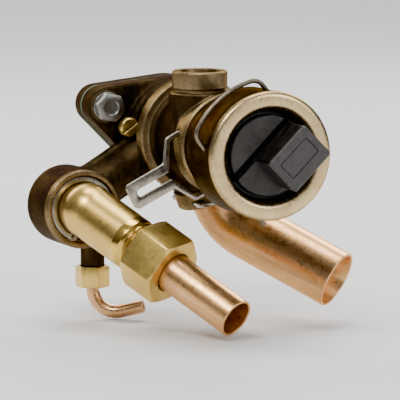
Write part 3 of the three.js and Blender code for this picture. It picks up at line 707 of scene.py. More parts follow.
def body_cuts(mat, vec):
    """Where the body casting has been machined."""
    radius, y = vec.polar()
    station = y * -1.0
    masks = [
        station.between(31.4, 37.1) * radius.ramp(zero=21.3, one=21.6),
        station.between(36.7, 37.2) * radius.ramp(zero=18.7, one=19.0),
        station.between(63.0, 72.3) * radius.ramp(zero=20.0, one=19.8),
        radius.ramp(zero=13.75, one=13.6),
        station.ramp(zero=7.35, one=7.25),
    ]
    from_axis, height = mat.coords(EXCHANGER_AXIS).polar()
    masks.append(height.ramp(zero=17.6, one=17.8) * from_axis.ramp(zero=11.4, one=11.2))
    from_axis, depth = mat.coords(COMMON_AXIS).polar()
    masks.append(depth.ramp(zero=17.0, one=17.3) * from_axis.between(8.0, 16.4))
    from_axis, y = mat.coords(SOCKET_AXIS).polar()
    masks.append(y.ramp(zero=-30.6, one=-30.8) * from_axis.ramp(zero=15.3, one=15.1))
    masks.append(from_axis.ramp(zero=12.95, one=12.8) * station.ramp(zero=11.3, one=11.6))
    for x, z in BOLTS:
        from_axis, _ = mat.coords(Matrix.Translation((x, 0, z))).polar()
        masks.append(station.between(14.5, 14.66, soft=0.03)
                     * from_axis.ramp(zero=6.5, one=6.3))
    cuts = masks[0]
    for mask in masks[1:]:
        cuts = mat.math("MAXIMUM", cuts, mask)
    return cuts


def cover_cuts(mat, vec):
    """The cover's back face, and its spigot in front."""
    radius, y = vec.polar()
    return mat.math("MAXIMUM", y.ramp(zero=-0.35, one=-0.12),
                    radius.ramp(zero=13.4, one=13.2) * y.ramp(zero=-5.9, one=-6.1))


def cast_detail(cuts):
    """Browned cast brass, lighter where the mask says it has been machined."""
    def detail(mat, color, vec, big, mid):
        streak = mat.coords(None, (0.5, 0.5, 0.12)).noise(scale=0.5, rough=0.6)
        brown = (0.10, 0.066, 0.031)
        color = mat.mix(streak.ramp(zero=0.5, one=0.7) * 0.45, color, brown)
        patches = vec.noise(scale=0.14, rough=0.6).ramp(zero=0.5, one=0.68) * 0.5
        olive = (0.060, 0.052, 0.025)
        color = mat.mix(patches, color, olive)
        bloom = vec.noise(scale=0.3, detail=5, rough=0.7).ramp(zero=0.63, one=0.76) * 0.25
        lime = (0.17, 0.155, 0.10)
        color = mat.mix(bloom, color, lime)
        mask = cuts(mat, vec)
        fresh, old = (0.27, 0.19, 0.095), (0.175, 0.118, 0.058)
        aged = (big + (mid - 0.5) * 0.4).ramp(zero=0.38, one=0.62)
        return mat.mix(mask, color, mat.mix(aged, fresh, old)), mask

    return detail


def cup_detail(mat, color, vec, big, mid):
    """Pale on the rim of the cup with painted shade on its outer and inner rounding; brown with patina
    behind it; painted shade on the neck and in the bore.
    """
    radius, y = vec.polar()
    wobble = (mid - 0.5) * 0.9
    wavy = radius + wobble
    back = (y + wobble).ramp(zero=-111.1, one=-109.2)
    # painted shade on the outer rounding of the rim
    rim = wavy.ramp(zero=22.2, one=23.9) * 0.8
    aged = mat.mix(big.ramp(zero=0.35, one=0.62), (0.050, 0.0325, 0.0145),
                   (0.020, 0.0132, 0.0065))
    runs = mat.coords(None, (0.9, 0.1, 0.9)).noise(scale=0.5)
    run_tone, olive, neck_painted_shade = (0.078, 0.052, 0.023), (0.036, 0.028, 0.014), (0.033, 0.020, 0.010)
    aged = mat.mix(runs.ramp(zero=0.5, one=0.7) * 0.45, aged, run_tone)
    patches = vec.noise(scale=0.16, rough=0.6).ramp(zero=0.48, one=0.66) * 0.5
    aged = mat.mix(patches, aged, olive)
    # painted shade: the neck and the collar behind the cup are painted darker
    neck = y.ramp(zero=-90.0, one=-84.0)
    aged = mat.mix(neck * 0.75, aged, neck_painted_shade)
    # painted shade: the cup's bore is painted dark; the tones below paint shade on the bore and on the
    # outer and inner rounding of the rim
    bore_painted_shade = radius.ramp(zero=17.9, one=17.1) * y.ramp(zero=-111.4, one=-109.8)
    bore_painted_shade_tone, rim_rounding_painted_shade, lip_rounding_painted_shade = (0.04, 0.027, 0.016), (0.30, 0.20, 0.095), (0.20, 0.135, 0.07)
    aged = mat.mix(bore_painted_shade, aged, bore_painted_shade_tone)
    # patina behind the rim, joined with the painted shade of the bore
    patina_and_bore_shade = mat.math("MAXIMUM", back, bore_painted_shade)
    # painted shade: brown on the outer rounding of the rim, darker on its inner rounding
    color = mat.mix(rim * 0.75, color, rim_rounding_painted_shade)
    color = mat.mix(wavy.ramp(zero=19.4, one=18.1) * 0.8, color, lip_rounding_painted_shade)
    return mat.mix(patina_and_bore_shade * 0.97, color, aged), 1.0 - patina_and_bore_shade * 0.75


def elbow_detail(mat, color, vec, big, mid):
    """The forged turn is left as struck, its outlet end is turned."""
    machined = mat.coords(OUTLET_AXIS).split()[1].ramp(zero=20.9, one=21.3)
    struck = (0.62, 0.43, 0.18)
    return mat.mix((1.0 - machined) * 0.35, color, struck), machined


def copper_detail(axis, joint, heat_reach):
    """Drawn streaks and tarnish along an axis, darkened by heat about a joint."""
    def detail(mat, color, vec, big, mid):
        streak = mat.coords(axis, (1.0, 0.05, 1.0)).noise(scale=0.8, detail=5, rough=0.6)
        pale, tarnished, burnt = (0.92, 0.62, 0.35), (0.50, 0.25, 0.115), (0.36, 0.17, 0.09)
        color = mat.mix(streak.ramp(zero=0.46, one=0.7) * 0.6, color, pale)
        tarnish = mat.coords(axis, (1.0, 0.35, 1.0)).noise(
            scale=0.2, detail=5, rough=0.65, distort=0.6)
        color = mat.mix(tarnish.ramp(zero=0.56, one=0.76) * 0.16, color, tarnished)
        away = vec.vector("SUBTRACT", tuple(joint)).vector("LENGTH")
        hot = away.ramp(zero=heat_reach, one=heat_reach * 0.35) * 0.6
        return mat.mix(hot, color, burnt), None

    return detail


TONES = {  # base, dark, stain, bright
    "cast": ((0.055, 0.035, 0.0160), (0.017, 0.0112, 0.0058), (0.037, 0.0215, 0.0095),
             (0.36, 0.25, 0.12)),
    "cup": ((0.81, 0.615, 0.335), (0.68, 0.49, 0.245), (0.57, 0.39, 0.18), (0.87, 0.71, 0.44)),
    "deep brass": ((0.84, 0.56, 0.135), (0.74, 0.47, 0.105), (0.68, 0.425, 0.10),
                   (0.95, 0.76, 0.34)),
    "brass": ((0.90, 0.64, 0.185), (0.82, 0.565, 0.15), (0.77, 0.52, 0.145),
              (0.97, 0.83, 0.42)),
    "copper": ((0.86, 0.50, 0.215), (0.79, 0.435, 0.175), (0.75, 0.40, 0.155),
               (0.95, 0.73, 0.44)),
    "copper 5": ((0.86, 0.52, 0.28), (0.72, 0.40, 0.19), (0.66, 0.35, 0.16),
                 (0.95, 0.74, 0.48)),
    "zinc": ((0.31, 0.30, 0.28), (0.18, 0.175, 0.165), (0.24, 0.20, 0.145), (0.66, 0.65, 0.62)),
    "stainless": ((0.47, 0.43, 0.36), (0.31, 0.28, 0.225), (0.37, 0.31, 0.225),
                  (0.78, 0.74, 0.66)),
    "wire": ((0.25, 0.205, 0.15), (0.14, 0.115, 0.085), (0.19, 0.145, 0.095),
             (0.60, 0.54, 0.45)),
    "turned steel": ((0.62, 0.62, 0.62), (0.46, 0.46, 0.46), (0.5, 0.48, 0.45),
                     (0.86, 0.86, 0.86)),
}
BRASS_SPOT = (0.50, 0.33, 0.12)
CAST_STYLE = dict(tones=TONES["cast"], rough=0.44, grain=0.5, shade_and_grime=0.85, wear=0.7,
                  metallic=0.9, marks=True, tint=(0.46, 0.40, 0.31))
COPPER_STYLE = dict(tones=TONES["copper"], shade_and_grime=0.6, wear=0.4, relief=0.12,
                    tint=(0.96, 0.80, 0.62))

CAST = metal("cast_brass_look", detail=cast_detail(body_cuts), **CAST_STYLE)
CAST_COVER = metal("cast_cover_look", detail=cast_detail(cover_cuts), **CAST_STYLE)
CUP = metal("turned_cup_look", TONES["cup"], rough=0.43, marks=True, shade_and_grime=0.85, wear=0.3,
            detail=cup_detail, relief=0.3, tint=(0.44, 0.39, 0.30))
BRASS = metal("yellow_brass_look", TONES["brass"], rough=0.33, shade_and_grime=0.75, wear=0.6,
              spot=BRASS_SPOT, relief=0.3)
TURNED_BRASS = metal("yellow_brass_turned_look", TONES["brass"], rough=0.36, marks=OUTLET_AXIS,
                     shade_and_grime=0.75, wear=0.6, spot=(0.52, 0.35, 0.13), relief=0.3)
ELBOW_BRASS = metal("forged_elbow_look", TONES["deep brass"], rough=0.32, marks=OUTLET_AXIS,
                    shade_and_grime=0.8, wear=0.6, spot=BRASS_SPOT, relief=0.3, detail=elbow_detail)
INNER_BRASS = metal("inner_brass_look", TONES["deep brass"], rough=0.28, marks=True, shade_and_grime=0.5,
                    wear=0.5, relief=0.5)
COPPER_22 = metal("copper_22_look", rough=0.32, draw=PIPE_AXIS, **COPPER_STYLE,
                  detail=copper_detail(PIPE_AXIS, joint=(8, -39, -24), heat_reach=20.0))
COPPER_15 = metal("copper_15_look", rough=0.33, draw=OUTLET_AXIS, **COPPER_STYLE,
                  detail=copper_detail(OUTLET_AXIS, joint=ELBOW + OUTLET_DIR * 44,
                                       heat_reach=14.0))
COPPER_5 = metal("copper_5_look", TONES["copper 5"], rough=0.3, shade_and_grime=0.6, wear=0.4,
                 spot=(0.42, 0.25, 0.13), relief=0.3)
ZINC = metal("zinc_steel_look", TONES["zinc"], rough=0.36, shade_and_grime=0.8, wear=0.6,
             spot=(0.25, 0.14, 0.07), relief=0.7)
STAINLESS = metal("stainless_look", TONES["stainless"], rough=0.29, shade_and_grime=0.6, wear=0.6,
                  relief=0.5)
SPRING_WIRE = metal("spring_wire_look", TONES["wire"], rough=0.33, shade_and_grime=0.7, wear=0.5,
                    relief=0.5)
TURNED_STEEL = metal("stainless_turned_look", TONES["turned steel"], rough=0.22, marks=True,
                     shade_and_grime=0.5, wear=0.5, relief=0.5)


# --- plastics, rubber and sheet
def plastic(name, base, light, rough=0.48, grain=7.0, dust=0.12, face=None):
    """A moulding with cloudy patches, painted shade in its corners, scuffed edges, and dust on what
    looks up.
    """
    mat = Surface(name)
    vec = mat.coords()
    big = vec.noise(scale=0.12, rough=0.6)
    mid = vec.noise(scale=0.9, detail=5, rough=0.6)
    fine = vec.noise(scale=grain, detail=3, rough=0.6)
    color = mat.mix(big.ramp(zero=0.3, one=0.7, out=(0.0, 0.6)), base, light)
    color = mat.mix(mid.ramp(zero=0.5, one=0.75) * 0.18, color, light)
    shaded = None
    # face may paint light on lit faces and a shadow on a wall, as block_face does
    if face:
        color, shaded = face(mat, color, vec)
    # painted shade: corners found by ambient occlusion are darkened
    corners = mat.openness(3.0).ramp(zero=0.8, one=0.25, out=(0.0, 0.75))
    color = mat.mix(corners, color, scaled(base, 0.3))
    worn, normal = mat.edge(0.3)
    worn = worn * vec.noise(scale=1.2).ramp(zero=0.35, one=0.65, out=(0.2, 1.0))
    color = mat.mix(worn * 0.5, color, tuple(min(1, c * 2.4 + 0.02) for c in light))
    settled = mat.normal().split()[2].ramp(zero=0.2, one=0.95)
    settled = settled * vec.noise(scale=0.25, detail=6, rough=0.75).ramp(zero=0.3, one=0.75)
    settled = settled * dust
    dust_tone = (0.30, 0.27, 0.23)
    color = mat.mix(settled, color, dust_tone)
    gloss = rough + (mid - 0.5) * 0.3 + settled * 0.6
    normal = mat.bump(fine, strength=0.35, distance=0.03, normal=normal)
    normal = mat.bump(mid, strength=0.1, distance=0.08, normal=normal)
    scratches = mat.coords(BLOCK_PLANE, (0.15, 2.2, 1.0)).noise(scale=1.5, detail=3)
    normal = mat.bump(scratches.ramp(zero=0.62, one=0.7), strength=0.1, distance=0.03,
                      normal=normal)
    mat.set(Base_Color=color, Roughness=gloss, Normal=normal, Specular_IOR_Level=0.4)
    if shaded is not None:
        mat.set(Specular_IOR_Level=shaded.ramp(zero=0.0, one=1.0, out=(0.4, 0.04)))
    return mat.material


def block_face(mat, color, vec):
    """Painted light, greyer on the block's front and on the half disc; painted shadow, dark on the
    wall along the block.
    """
    y = vec.split()[1]
    side = mat.coords(BLOCK_PLANE).split()[1]
    # painted shadow: the wall beside the block is painted near black, and loses its shine in plastic()
    wall = side.ramp(zero=-7.2, one=-7.6) * side.ramp(zero=-10.6, one=-10.2)
    wall = wall * y.ramp(zero=-122.4, one=-121.6)
    wall = wall * vec.noise(scale=0.5).ramp(zero=0.2, one=0.6, out=(0.7, 1.0))
    # painted light: the block's front and the half disc are painted greyer, as faces that catch the
    # light
    front = y.ramp(zero=-120.5, one=-122.7)
    painted_light_patchiness = vec.noise(scale=0.35, rough=0.6)
    front_painted_light, disc_painted_light, dark = (0.062, 0.056, 0.055), (0.046, 0.039, 0.035), (0.003, 0.0026, 0.0025)
    color = mat.mix(front * painted_light_patchiness.ramp(zero=0.3, one=0.7, out=(0.55, 1.0)), color, front_painted_light)
    disc = y.ramp(zero=-109.2, one=-109.5) * y.ramp(zero=-110.2, one=-109.9)
    color = mat.mix(disc * painted_light_patchiness.ramp(zero=0.3, one=0.7, out=(0.3, 0.8)), color, disc_painted_light)
    return mat.mix(wall, color, dark), wall


def fibre(name, base, light):
    mat = Surface(name)
    vec = mat.coords()
    strand = mat.coords(None, (1.0, 6.0, 1.0)).noise(scale=1.6, detail=6, rough=0.7)
    fleck = vec.noise(scale=3, rough=0.7)
    color = mat.mix(strand.ramp(zero=0.35, one=0.65), base, light)
    color = mat.mix(fleck.ramp(zero=0.55, one=0.7) * 0.4, color, scaled(base, 0.4))
    mat.set(Base_Color=color, Normal=mat.bump(strand, strength=0.5, distance=0.08),
            Roughness=fleck.ramp(zero=0.3, one=0.7, out=(0.7, 0.95)))
    return mat.material


def winding():
    """Enamelled copper wire, its turns drawn as waves across the coil, with painted shade dark in the
    gaps between them.
    """
    mat = Surface("winding_look")
    vec = mat.coords()
    radius, y = vec.polar()
    turns = mat.math("SINE", y * 28.0) + mat.math("SINE", radius * 28.0)
    big = vec.noise(scale=0.4, detail=3)
    # painted shade: the gaps between the turns are painted dark
    gap_painted_shade, crest, shade = (0.16, 0.05, 0.02), (0.66, 0.28, 0.12), (0.5, 0.16, 0.06)
    color = mat.mix(turns.ramp(zero=-1.2, one=0.8), gap_painted_shade, crest)
    color = mat.mix(big.ramp(zero=0.4, one=0.6) * 0.4, color, shade)
    mat.set(Base_Color=color, Metallic=0.7, Coat_Weight=0.5,
            Roughness=big.ramp(zero=0.3, one=0.7, out=(0.28, 0.45)),
            Normal=mat.bump(turns, strength=0.6, distance=0.08))
    return mat.material


BLACK = plastic("black_moulding_look", base=(0.013, 0.012, 0.013), light=(0.026, 0.025, 0.026),
                face=block_face)
GREY = plastic("bearing_plastic_look", base=(0.33, 0.34, 0.35), light=(0.42, 0.43, 0.44), dust=0.0)
RUBBER = plastic("rubber_look", base=(0.018, 0.018, 0.019), light=(0.035, 0.034, 0.033),
                 rough=0.7, grain=5.0, dust=0.1)
FIBRE = fibre("fibre_sheet_look", base=(0.12, 0.24, 0.17), light=(0.24, 0.36, 0.27))
FERRITE = plastic("ferrite_look", base=(0.07, 0.07, 0.075), light=(0.11, 0.11, 0.115),
                  rough=0.6, grain=3.0, dust=0.0)
BOARD = fibre("board_look", base=(0.03, 0.2, 0.08), light=(0.06, 0.28, 0.13))
WINDING = winding()


# --- shared forms
def flange_outline(grow=0.0):
    """A round flange with an ear about each bolt, drawn as four tangent arcs."""
    x, z = BOLTS[0]
    ear = math.atan2(z, x)
    half = math.acos((FLANGE_RADIUS - EAR_RADIUS) / math.hypot(x, z))
    ear_radius, flange_radius = EAR_RADIUS + grow, FLANGE_RADIUS + grow
    far = ear + math.pi
    return (arc(x, z, ear_radius, ear - half, ear + half, 24)
            + arc(0, 0, flange_radius, ear + half, far - half, 16)
            + arc(-x, -z, ear_radius, far - half, far + half, 24)
            + arc(0, 0, flange_radius, far + half, ear + 2 * math.pi - half, 16))


def hex_nut(node, flats, start, end, chamfer, axis, hole=None):
    """A chamfered hexagon about local Y; hole is a profile of (radius, y)."""
    radius = flats / math.sqrt(3)
    outline = [(radius * math.sin(i * math.pi / 3), radius * math.cos(i * math.pi / 3))
               for i in range(6)]
    body = prism(rounded(outline, 0.35, 2), -end, -start, SPINDLE_PLANE, bevel=0)
    nut = piece(node, moved(body, axis))
    face, rim, drop = radius - chamfer * 1.25, radius + 0.02, chamfer * 0.72
    cone = [(0, start), (face, start), (rim, start + drop), (rim, end - drop), (face, end),
            (0, end)]
    keep(nut, moved(lathe(cone, 96), axis))
    if hole:
        cut(nut, moved(lathe(hole, 72), axis))
    return nut


# --- valve body
def body_casting():
    """The body's raw shapes, fused into one soft skin."""
    part = piece(
        "valve_body",
        prism(flange_outline(), 6.2, 14.7, SPINDLE_PLANE, bevel=0),
        turned([(0, 6.2), (19.5, 6.2), (19.5, 16.2), (17.5, 18), (17.5, 28.6), (21.4, 30.2),
                (22.2, 31), (22.2, 35.8), (21.2, 36.6), (17.5, 37.8), (17.5, 61.8),
                (19.0, 63.4), (19.0, 71.0), (0, 71.0)], corner=0),
        sharp([(0, 0), (15, 0), (15, 18.5), (15.2, 22), (0, 22)], COMMON_AXIS),
        sharp(rod(11.6, 0, 19.1), EXCHANGER_AXIS),
        sharp(rod(3.8, -18.4, -12), PLUG_AXIS, seg=32),
        sharp(rod(8.6, 0, DUCT_LENGTH), DUCT_AXIS),
        sharp([(0, -9.5), (13.4, -9.5), (15, -11.1), (15, -32.0), (0, -32.0)], SOCKET_AXIS),
        sharp(rod(4.6, 1, 19.3), DRAIN_AXIS, seg=48),
        # a web that stiffens the duct
        prism(rect(15, 40, -9.8, 9.8), -1.6, 1.6, WEB_PLANE, bevel=0),
    )
    soft_cast(part, voxel=0.55, rounds=13, ratio=0.55)
    return part


def build_body():
    part = body_casting()
    # machined rings that stay crisp: collar, mouth, common port, exchanger stub, plug, socket
    join(
        part,
        turned([(16, 31.4), (22.4, 31.4), (22.4, 36.3), (21.8, 36.95), (16, 36.95)]),
        turned([(14.6, 62.6), (19.2, 63.0), (19.6, 63.5), (19.6, 71.2), (18.8, 72),
                (14.6, 72)], corner=0.2),
        turned_at([(13.4, 17.2), (15.6, 17.2), (16, 17.7), (16, 23.4), (15.4, 24), (13.4, 24)],
                  COMMON_AXIS, corner=0.2),
        turned_at([(7.5, 17.6), (11.0, 17.6), (11.0, 18.7), (9.6, 19.3), (9.6, 20.2),
                   (10.4, 20.8), (10.4, 26.5), (9.9, 27), (7.5, 27)],
                  EXCHANGER_AXIS, corner=0.12),
        turned_at([(0, -19), (3.5, -19), (3.8, -18.6), (3.8, -16), (0, -16)], PLUG_AXIS,
                  corner=0.1, seg=48),
        turned_at([(12.9, -33), (14.3, -33), (15, -32.3), (15, -30.4), (12.9, -30.4)],
                  SOCKET_AXIS, corner=0.2),
    )
    # the space behind the flange, then the bores and seats
    cut(
        part,
        prism(rect(-60, 60, -60, 60), -7.2, 4.0, SPINDLE_PLANE, bevel=0),
        lathe([(0, -5), (13.5, -5), (13.5, -29), (12.4, -29), (12.4, -49), (13.5, -49),
               (13.5, -71.6), (14.0, -73), (0, -73)], 128),
        sharp([(0, 0), (9.6, 0), (9.6, 14.5), (11.3, 14.5), (11.3, 15.6), (12.9, 15.6),
               (12.9, 17.9), (11.3, 17.9), (11.3, 18.6), (12.9, 18.6), (12.9, 23.4),
               (13.5, 24.2), (13.5, 25), (0, 25)], COMMON_AXIS, seg=96),
        sharp(rod(5.5, 0, DUCT_LENGTH), DUCT_AXIS, seg=48),
        sharp([(0, -11.5), (8.4, -11.5), (8.4, -28.8), (11.7, -28.8), (11.7, -31), (12.7, -31),
               (12.7, -32.2), (11.7, -32.2), (11.7, -32.6), (12.2, -33.2), (12.2, -34),
               (0, -34)], SOCKET_AXIS, seg=96),
        sharp(rod(1.9, -3, 22), DRAIN_AXIS, seg=32),
        sharp([(0, 0), (6.4, 0), (6.4, 26.4), (7.1, 27.3), (0, 27.3)], EXCHANGER_AXIS, seg=64),
    )
    # slots for the legs of the two flat clips
    for x0, x1 in ((-13.9, -11.4), (11.4, 13.9)):
        cut(part, prism(rect(x0, x1, -26, 26), -0.95, 0.95, CLIP_PLANE, bevel=0))
    for x0, x1 in ((-13.75, -11.1), (11.1, 13.75)):
        cut(part, prism(rect(x0, x1, -22, 22), -22.55, -20.55, COMMON_PLANE, bevel=0))
    for axis in BOLT_AXES:
        # bolt hole, and a spot face under the washer
        cut(part, sharp(rod(3.3, 4, 16), axis, seg=48), sharp(rod(6.4, 14.62, 16.5), axis, seg=64))
    cut(part, sharp(rod(2.3, -20, -15), PLUG_AXIS, seg=32))
    finish(part, CAST, 34)


# --- rear cover, gasket, bolts and plug
def build_rear_cover():
    part = piece("rear_cover",
                 prism(flange_outline(), 0.0, 6.9, SPINDLE_PLANE, bevel=0.9, steps=3))
    cut(part, prism(rect(-60, 60, -60, 60), 6.0, 9.0, SPINDLE_PLANE, bevel=0))
    join(part, turned([(0, 3), (13.2, 3), (13.2, 9.2), (12.4, 9.8), (0, 9.8)], corner=0.2))
    cut(part, turned(rod(10.2, 4, 11), corner=0, seg=72))
    for axis in BOLT_AXES:
        cut(part, sharp([(0, -1), (3.75, -1), (3.05, 0.7), (3.05, 7), (0, 7)], axis, seg=48))
    finish(part, CAST_COVER, 34)


def build_gasket():
    part = piece("cover_gasket",
                 prism(flange_outline(-0.15), 6.15, 7.05, SPINDLE_PLANE, bevel=0.12))
    cut(part, turned(rod(13.4, 5, 8), corner=0, seg=72))
    for axis in BOLT_AXES:
        cut(part, sharp(rod(3.3, 5, 8), axis, seg=40))
    finish(part, FIBRE)


def build_bolts():
    for i, bolt_axis in enumerate(BOLT_AXES):
        axis = bolt_axis @ Matrix.Rotation(0.3 + 0.9 * i, 4, "Y")
        finish(piece(f"cover_washer_{i + 1}",
                     turned_at(washer(3.2, 5.6, 14.85, 16.0), axis, corner=0.22, seg=64)), ZINC)
        bolt = hex_nut(f"cover_bolt_{i + 1}", 10, 16.15, 20.4, 0.7, axis)
        # shallow dish in the head, then the threaded and the plain shank
        cut(bolt, turned_at([(0, 19.95), (2.6, 20.05), (3.1, 20.5), (0, 20.5)], axis,
                            corner=0.1, seg=48))
        join(bolt, moved(threaded(2.9, 0.28, 1.0, 0.4, 13.4, seg=40, step=0.125), axis),
             sharp(rod(2.75, 13.0, 16.6), axis, seg=48))
        finish(bolt, ZINC)


def build_vent_plug():
    plug = piece("vent_plug", turned_at(
        [(0, -22.1), (3.2, -22.1), (3.6, -21.6), (3.6, -19.15), (1.9, -19.15), (1.9, -15.3),
         (0, -15.3)], PLUG_AXIS, corner=0.22, seg=64))
    slot = PLUG_AXIS @ Matrix.Rotation(-0.6, 4, "Y") @ SPINDLE_PLANE
    cut(plug, prism(rect(-5, 5, -0.5, 0.5), 20.9, 23, slot, bevel=0))
    finish(plug, BRASS)


# --- bonnet with the cup: radius, station, and a corner radius where it is not 0.25
BONNET = [
    (2.75, 64.4), (12.6, 64.4), (13.2, 65), (11.7, 65), (11.7, 67), (13.2, 67), (13.2, 68),
    (11.7, 68), (11.7, 70.2), (13.2, 70.2), (13.2, 72.2), (18.4, 72.2), (18.8, 72.8),
    (18.8, 75.2), (18.2, 75.8), (14.6, 76.4, 1.6), (14.6, 86.2, 1.4), (16.4, 87.8, 1.0),
    (22.8, 88.0, 0.9), (23.6, 88.6), (23.6, 107.2, 0.5), (24, 107.8, 0.5), (24, 112, 3.3),
    (17, 112, 2.5), (17, 92, 0.6), (8.5, 92), (8.5, 80), (7.1, 80), (7.1, 74.2), (4.9, 74.2),
    (4.9, 69), (2.75, 69),
]


def build_bonnet():
    corners = [row[2] if len(row) > 2 else 0.25 for row in BONNET]
    part = piece("bonnet", lathe(rounded([(row[0], -row[1]) for row in BONNET], corners, 7), 160))
    # holes for the two legs of the retaining wire
    for x in (-16, 16):
        cut(part, moved(lathe(rod(1.15, -30, 32), 32), WIRE_PLANE @ Matrix.Translation((x, 0, 0))))
    finish(part, CUP, 30)
    finish(piece("bonnet_o_ring", turned(
        [(11.8, 68.3), (12.8, 68.15), (13.25, 68.6), (13.25, 69.6), (12.8, 70.05),
         (11.8, 69.9)], corner=0.6, steps=4)), RUBBER)


# --- clips
def build_bonnet_clip():
    # left halves of the outer and the inner edge: x, y, corner radius
    outer = [(-13.4, -15, 0.6), (-13.4, 20, 2.2), (-5.2, 25.2, 1.6), (-5.2, 41.1, 1.0),
             (-3.8, 42.5, 1.0)]
    inner = [(-11.9, -15, 0.6), (-11.9, 19, 1.8), (-1.5, 24.6, 1.2), (-1.5, 39.3, 1.2)]
    rows = (outer + [(-x, y, corner) for x, y, corner in reversed(outer)]
            + [(-x, y, corner) for x, y, corner in inner] + inner[::-1])
    outline = rounded([row[:2] for row in rows], [row[2] for row in rows], 5)
    finish(piece("bonnet_clip", prism(outline, -0.7, 0.7, CLIP_PLANE, bevel=0.22)), STAINLESS)


def build_common_clip():
    outer, inner = 13.55, 11.25  # half widths
    quarter = math.pi / 2
    outline = [
        (-outer, 13.5),
        *arc(-outer + 6, -14, 6, math.pi, 3 * quarter),
        *arc(outer - 6, -14, 6, 3 * quarter, 4 * quarter),
        (outer, 13.5), (inner + 0.9, 14.2), (inner, 13.2),
        *arc(inner - 3.7, -14, 3.7, 0, -quarter),
        *arc(-inner + 3.7, -14, 3.7, -quarter, -math.pi),
        (-inner, 13.2), (-inner - 0.9, 14.2),
    ]
    part = piece("common_clip", prism(outline, -22.35, -20.75, COMMON_PLANE, bevel=0.2))
    tab = rounded(rect(-5, 5, -26.5, -20.75), [1.4, 1.4, 0.1, 0.1], 5)
    join(part, prism(tab, 19.4, 21.4, COMMON_PLANE @ SPINDLE_PLANE, bevel=0.25))
    finish(part, STAINLESS)


def build_retaining_clip():
    corners = [(-16, -21), (-16, 23.2), (-8, 26.25), (0, 27.2), (8, 26.25), (16, 23.2),
               (16, -21)]
    bends = rounded(corners, [0, 4.5, 30, 60, 30, 4.5, 0], steps=8, reach=0.48)
    path = [WIRE_PLANE @ Vector((x, y, 0)) for x, y in bends]
    finish(piece("retaining_clip", tube(path, 0.9, seg=24, edge=0.3)), SPRING_WIRE, 60)


def build_branch_circlip():
    part = piece("branch_circlip", turned_at(washer(10.4, 12.45, -32.05, -31.15), SOCKET_AXIS,
                                             corner=0.12, seg=96))
    cut(part, prism(rect(-3, 3, -14, 0), 30, 33, SOCKET_PLANE, bevel=0))
    for x in (-4.1, 4.1):
        ear = arc(x, -10.3, 1.9, 0, 15 * math.pi / 8, 15)
        join(part, prism(ear, 31.15, 32.05, SOCKET_PLANE, bevel=0.12))
        hole_axis = SOCKET_AXIS @ Matrix.Translation((x, 0, -10.0))
        cut(part, moved(lathe(rod(0.6, -33, -30), 16), hole_axis))
    finish(part, STAINLESS)


# --- actuator
def block(u0, u1, v0, v1, start, end, corner=0.0, bevel=0.0, steps=4):
    """A box in the block's own axes between two stations, its front rim bevelled."""
    outline = rect(u0, u1, v0, v1)
    if corner:
        outline = rounded(outline, corner, 6)
    place = BLOCK_PLANE @ Matrix.Diagonal((1, 1, -1, 1))
    return prism(outline, start, end, place, bevel=bevel, steps=steps, both_rims=False)


def whole_block(start, end, bevel=0.0):
    return block(-BLOCK_U, BLOCK_U, -BLOCK_V, BLOCK_V, start, end, 1.3, bevel)


def build_housing():
    part = piece("actuator_housing", turned(
        [(0, 107), (14.1, 107), (14.1, 98.6), (16.6, 98.6), (16.6, 102.5), (15.0, 102.5),
         (15.0, 104.7), (16.6, 104.7), (16.6, 106.2), (16.2, 106.6), (15.1, 106.6),
         (15.1, 109.1), (14.6, 109.6), (0, 109.6)], seg=128))
    # the connector block, narrowed to the round housing at its neck and root
    neck = clipped(whole_block(108.4, 112.8), turned(rod(16.3, 108, 114), corner=0, seg=128))
    join(part, neck, whole_block(112.5, 123, 0.9))
    join(part, clipped(turned(washer(14.6, 16.3, 106.3, 109), corner=0, seg=128),
                       whole_block(106, 110)))
    # a rib and a raised panel on the front face
    join(part, block(-BLOCK_U, BLOCK_U, -BLOCK_V + 1.7, -BLOCK_V + 2.5, 122.6, 123.0, 0.0, 0.1))
    cut(part, block(-7.2, 7.2, -4.2, 3.4, 122.55, 124, 1.0))
    join(part, block(-6.9, 6.9, -3.9, 3.1, 120.5, 122.85, 0.9, 0.25))
    # the socket, the room behind it and a passage to the rear
    cut(part, block(-7.6, 7.6, -3, 9, 114.8, 121.2, 0.7))
    cut(part, block(-7, 7, -5.9, 4, 110.5, 113.2))
    cut(part, block(-3, 3, 1, 3, 106.5, 111))
    for u in TERMINALS:
        cut(part, block(u - 0.6, u + 0.6, -5.0, -3.6, 112.5, 118.6),
            block(u - 0.6, u + 0.6, -5.0, -2.9, 117.2, 118.6))
    # seat in the rear wall, and a groove beside the block
    cut(part, turned([(0, 106), (5.4, 106), (5.4, 108.05), (3, 108.05), (3, 108.85),
                      (0, 108.85)], corner=0, seg=64))
    cut(part, block(-14, 11, -10.2, -7.95, 108.5, 110))
    # keying slots at the mouth of the socket, and marks of the ejector pins
    cut(part, block(-5.2, -4.0, 5.5, 9, 120.9, 122.2), block(4.0, 5.2, 5.5, 9, 120.9, 122.2))
    for u, v in ((-3.5, -14.5), (6.5, -13.2)):
        mark = Matrix.Translation(BLOCK_PLANE @ Vector((u, v, 0)))
        cut(part, moved(lathe(rod(1.25, -109.42, -110), 40), mark))
    finish(part, BLACK, 30)


def build_terminals():
    finish(piece("circuit_board", block(-6.7, 6.7, -5.6, 3.7, 110.8, 111.8, 0.4, 0.08, 1)), BOARD)
    for i, u in enumerate(TERMINALS):
        pin = piece(f"terminal_pin_{i + 1}",
                    block(u - 0.4, u + 0.4, -4.7, -3.9, 112.0, 118.3, 0.12, 0.1, 2))
        join(pin, block(u - 0.4, u + 0.4, -4.7, 3.2, 117.5, 118.3, 0.12, 0.15, 2))
        finish(pin, INNER_BRASS)


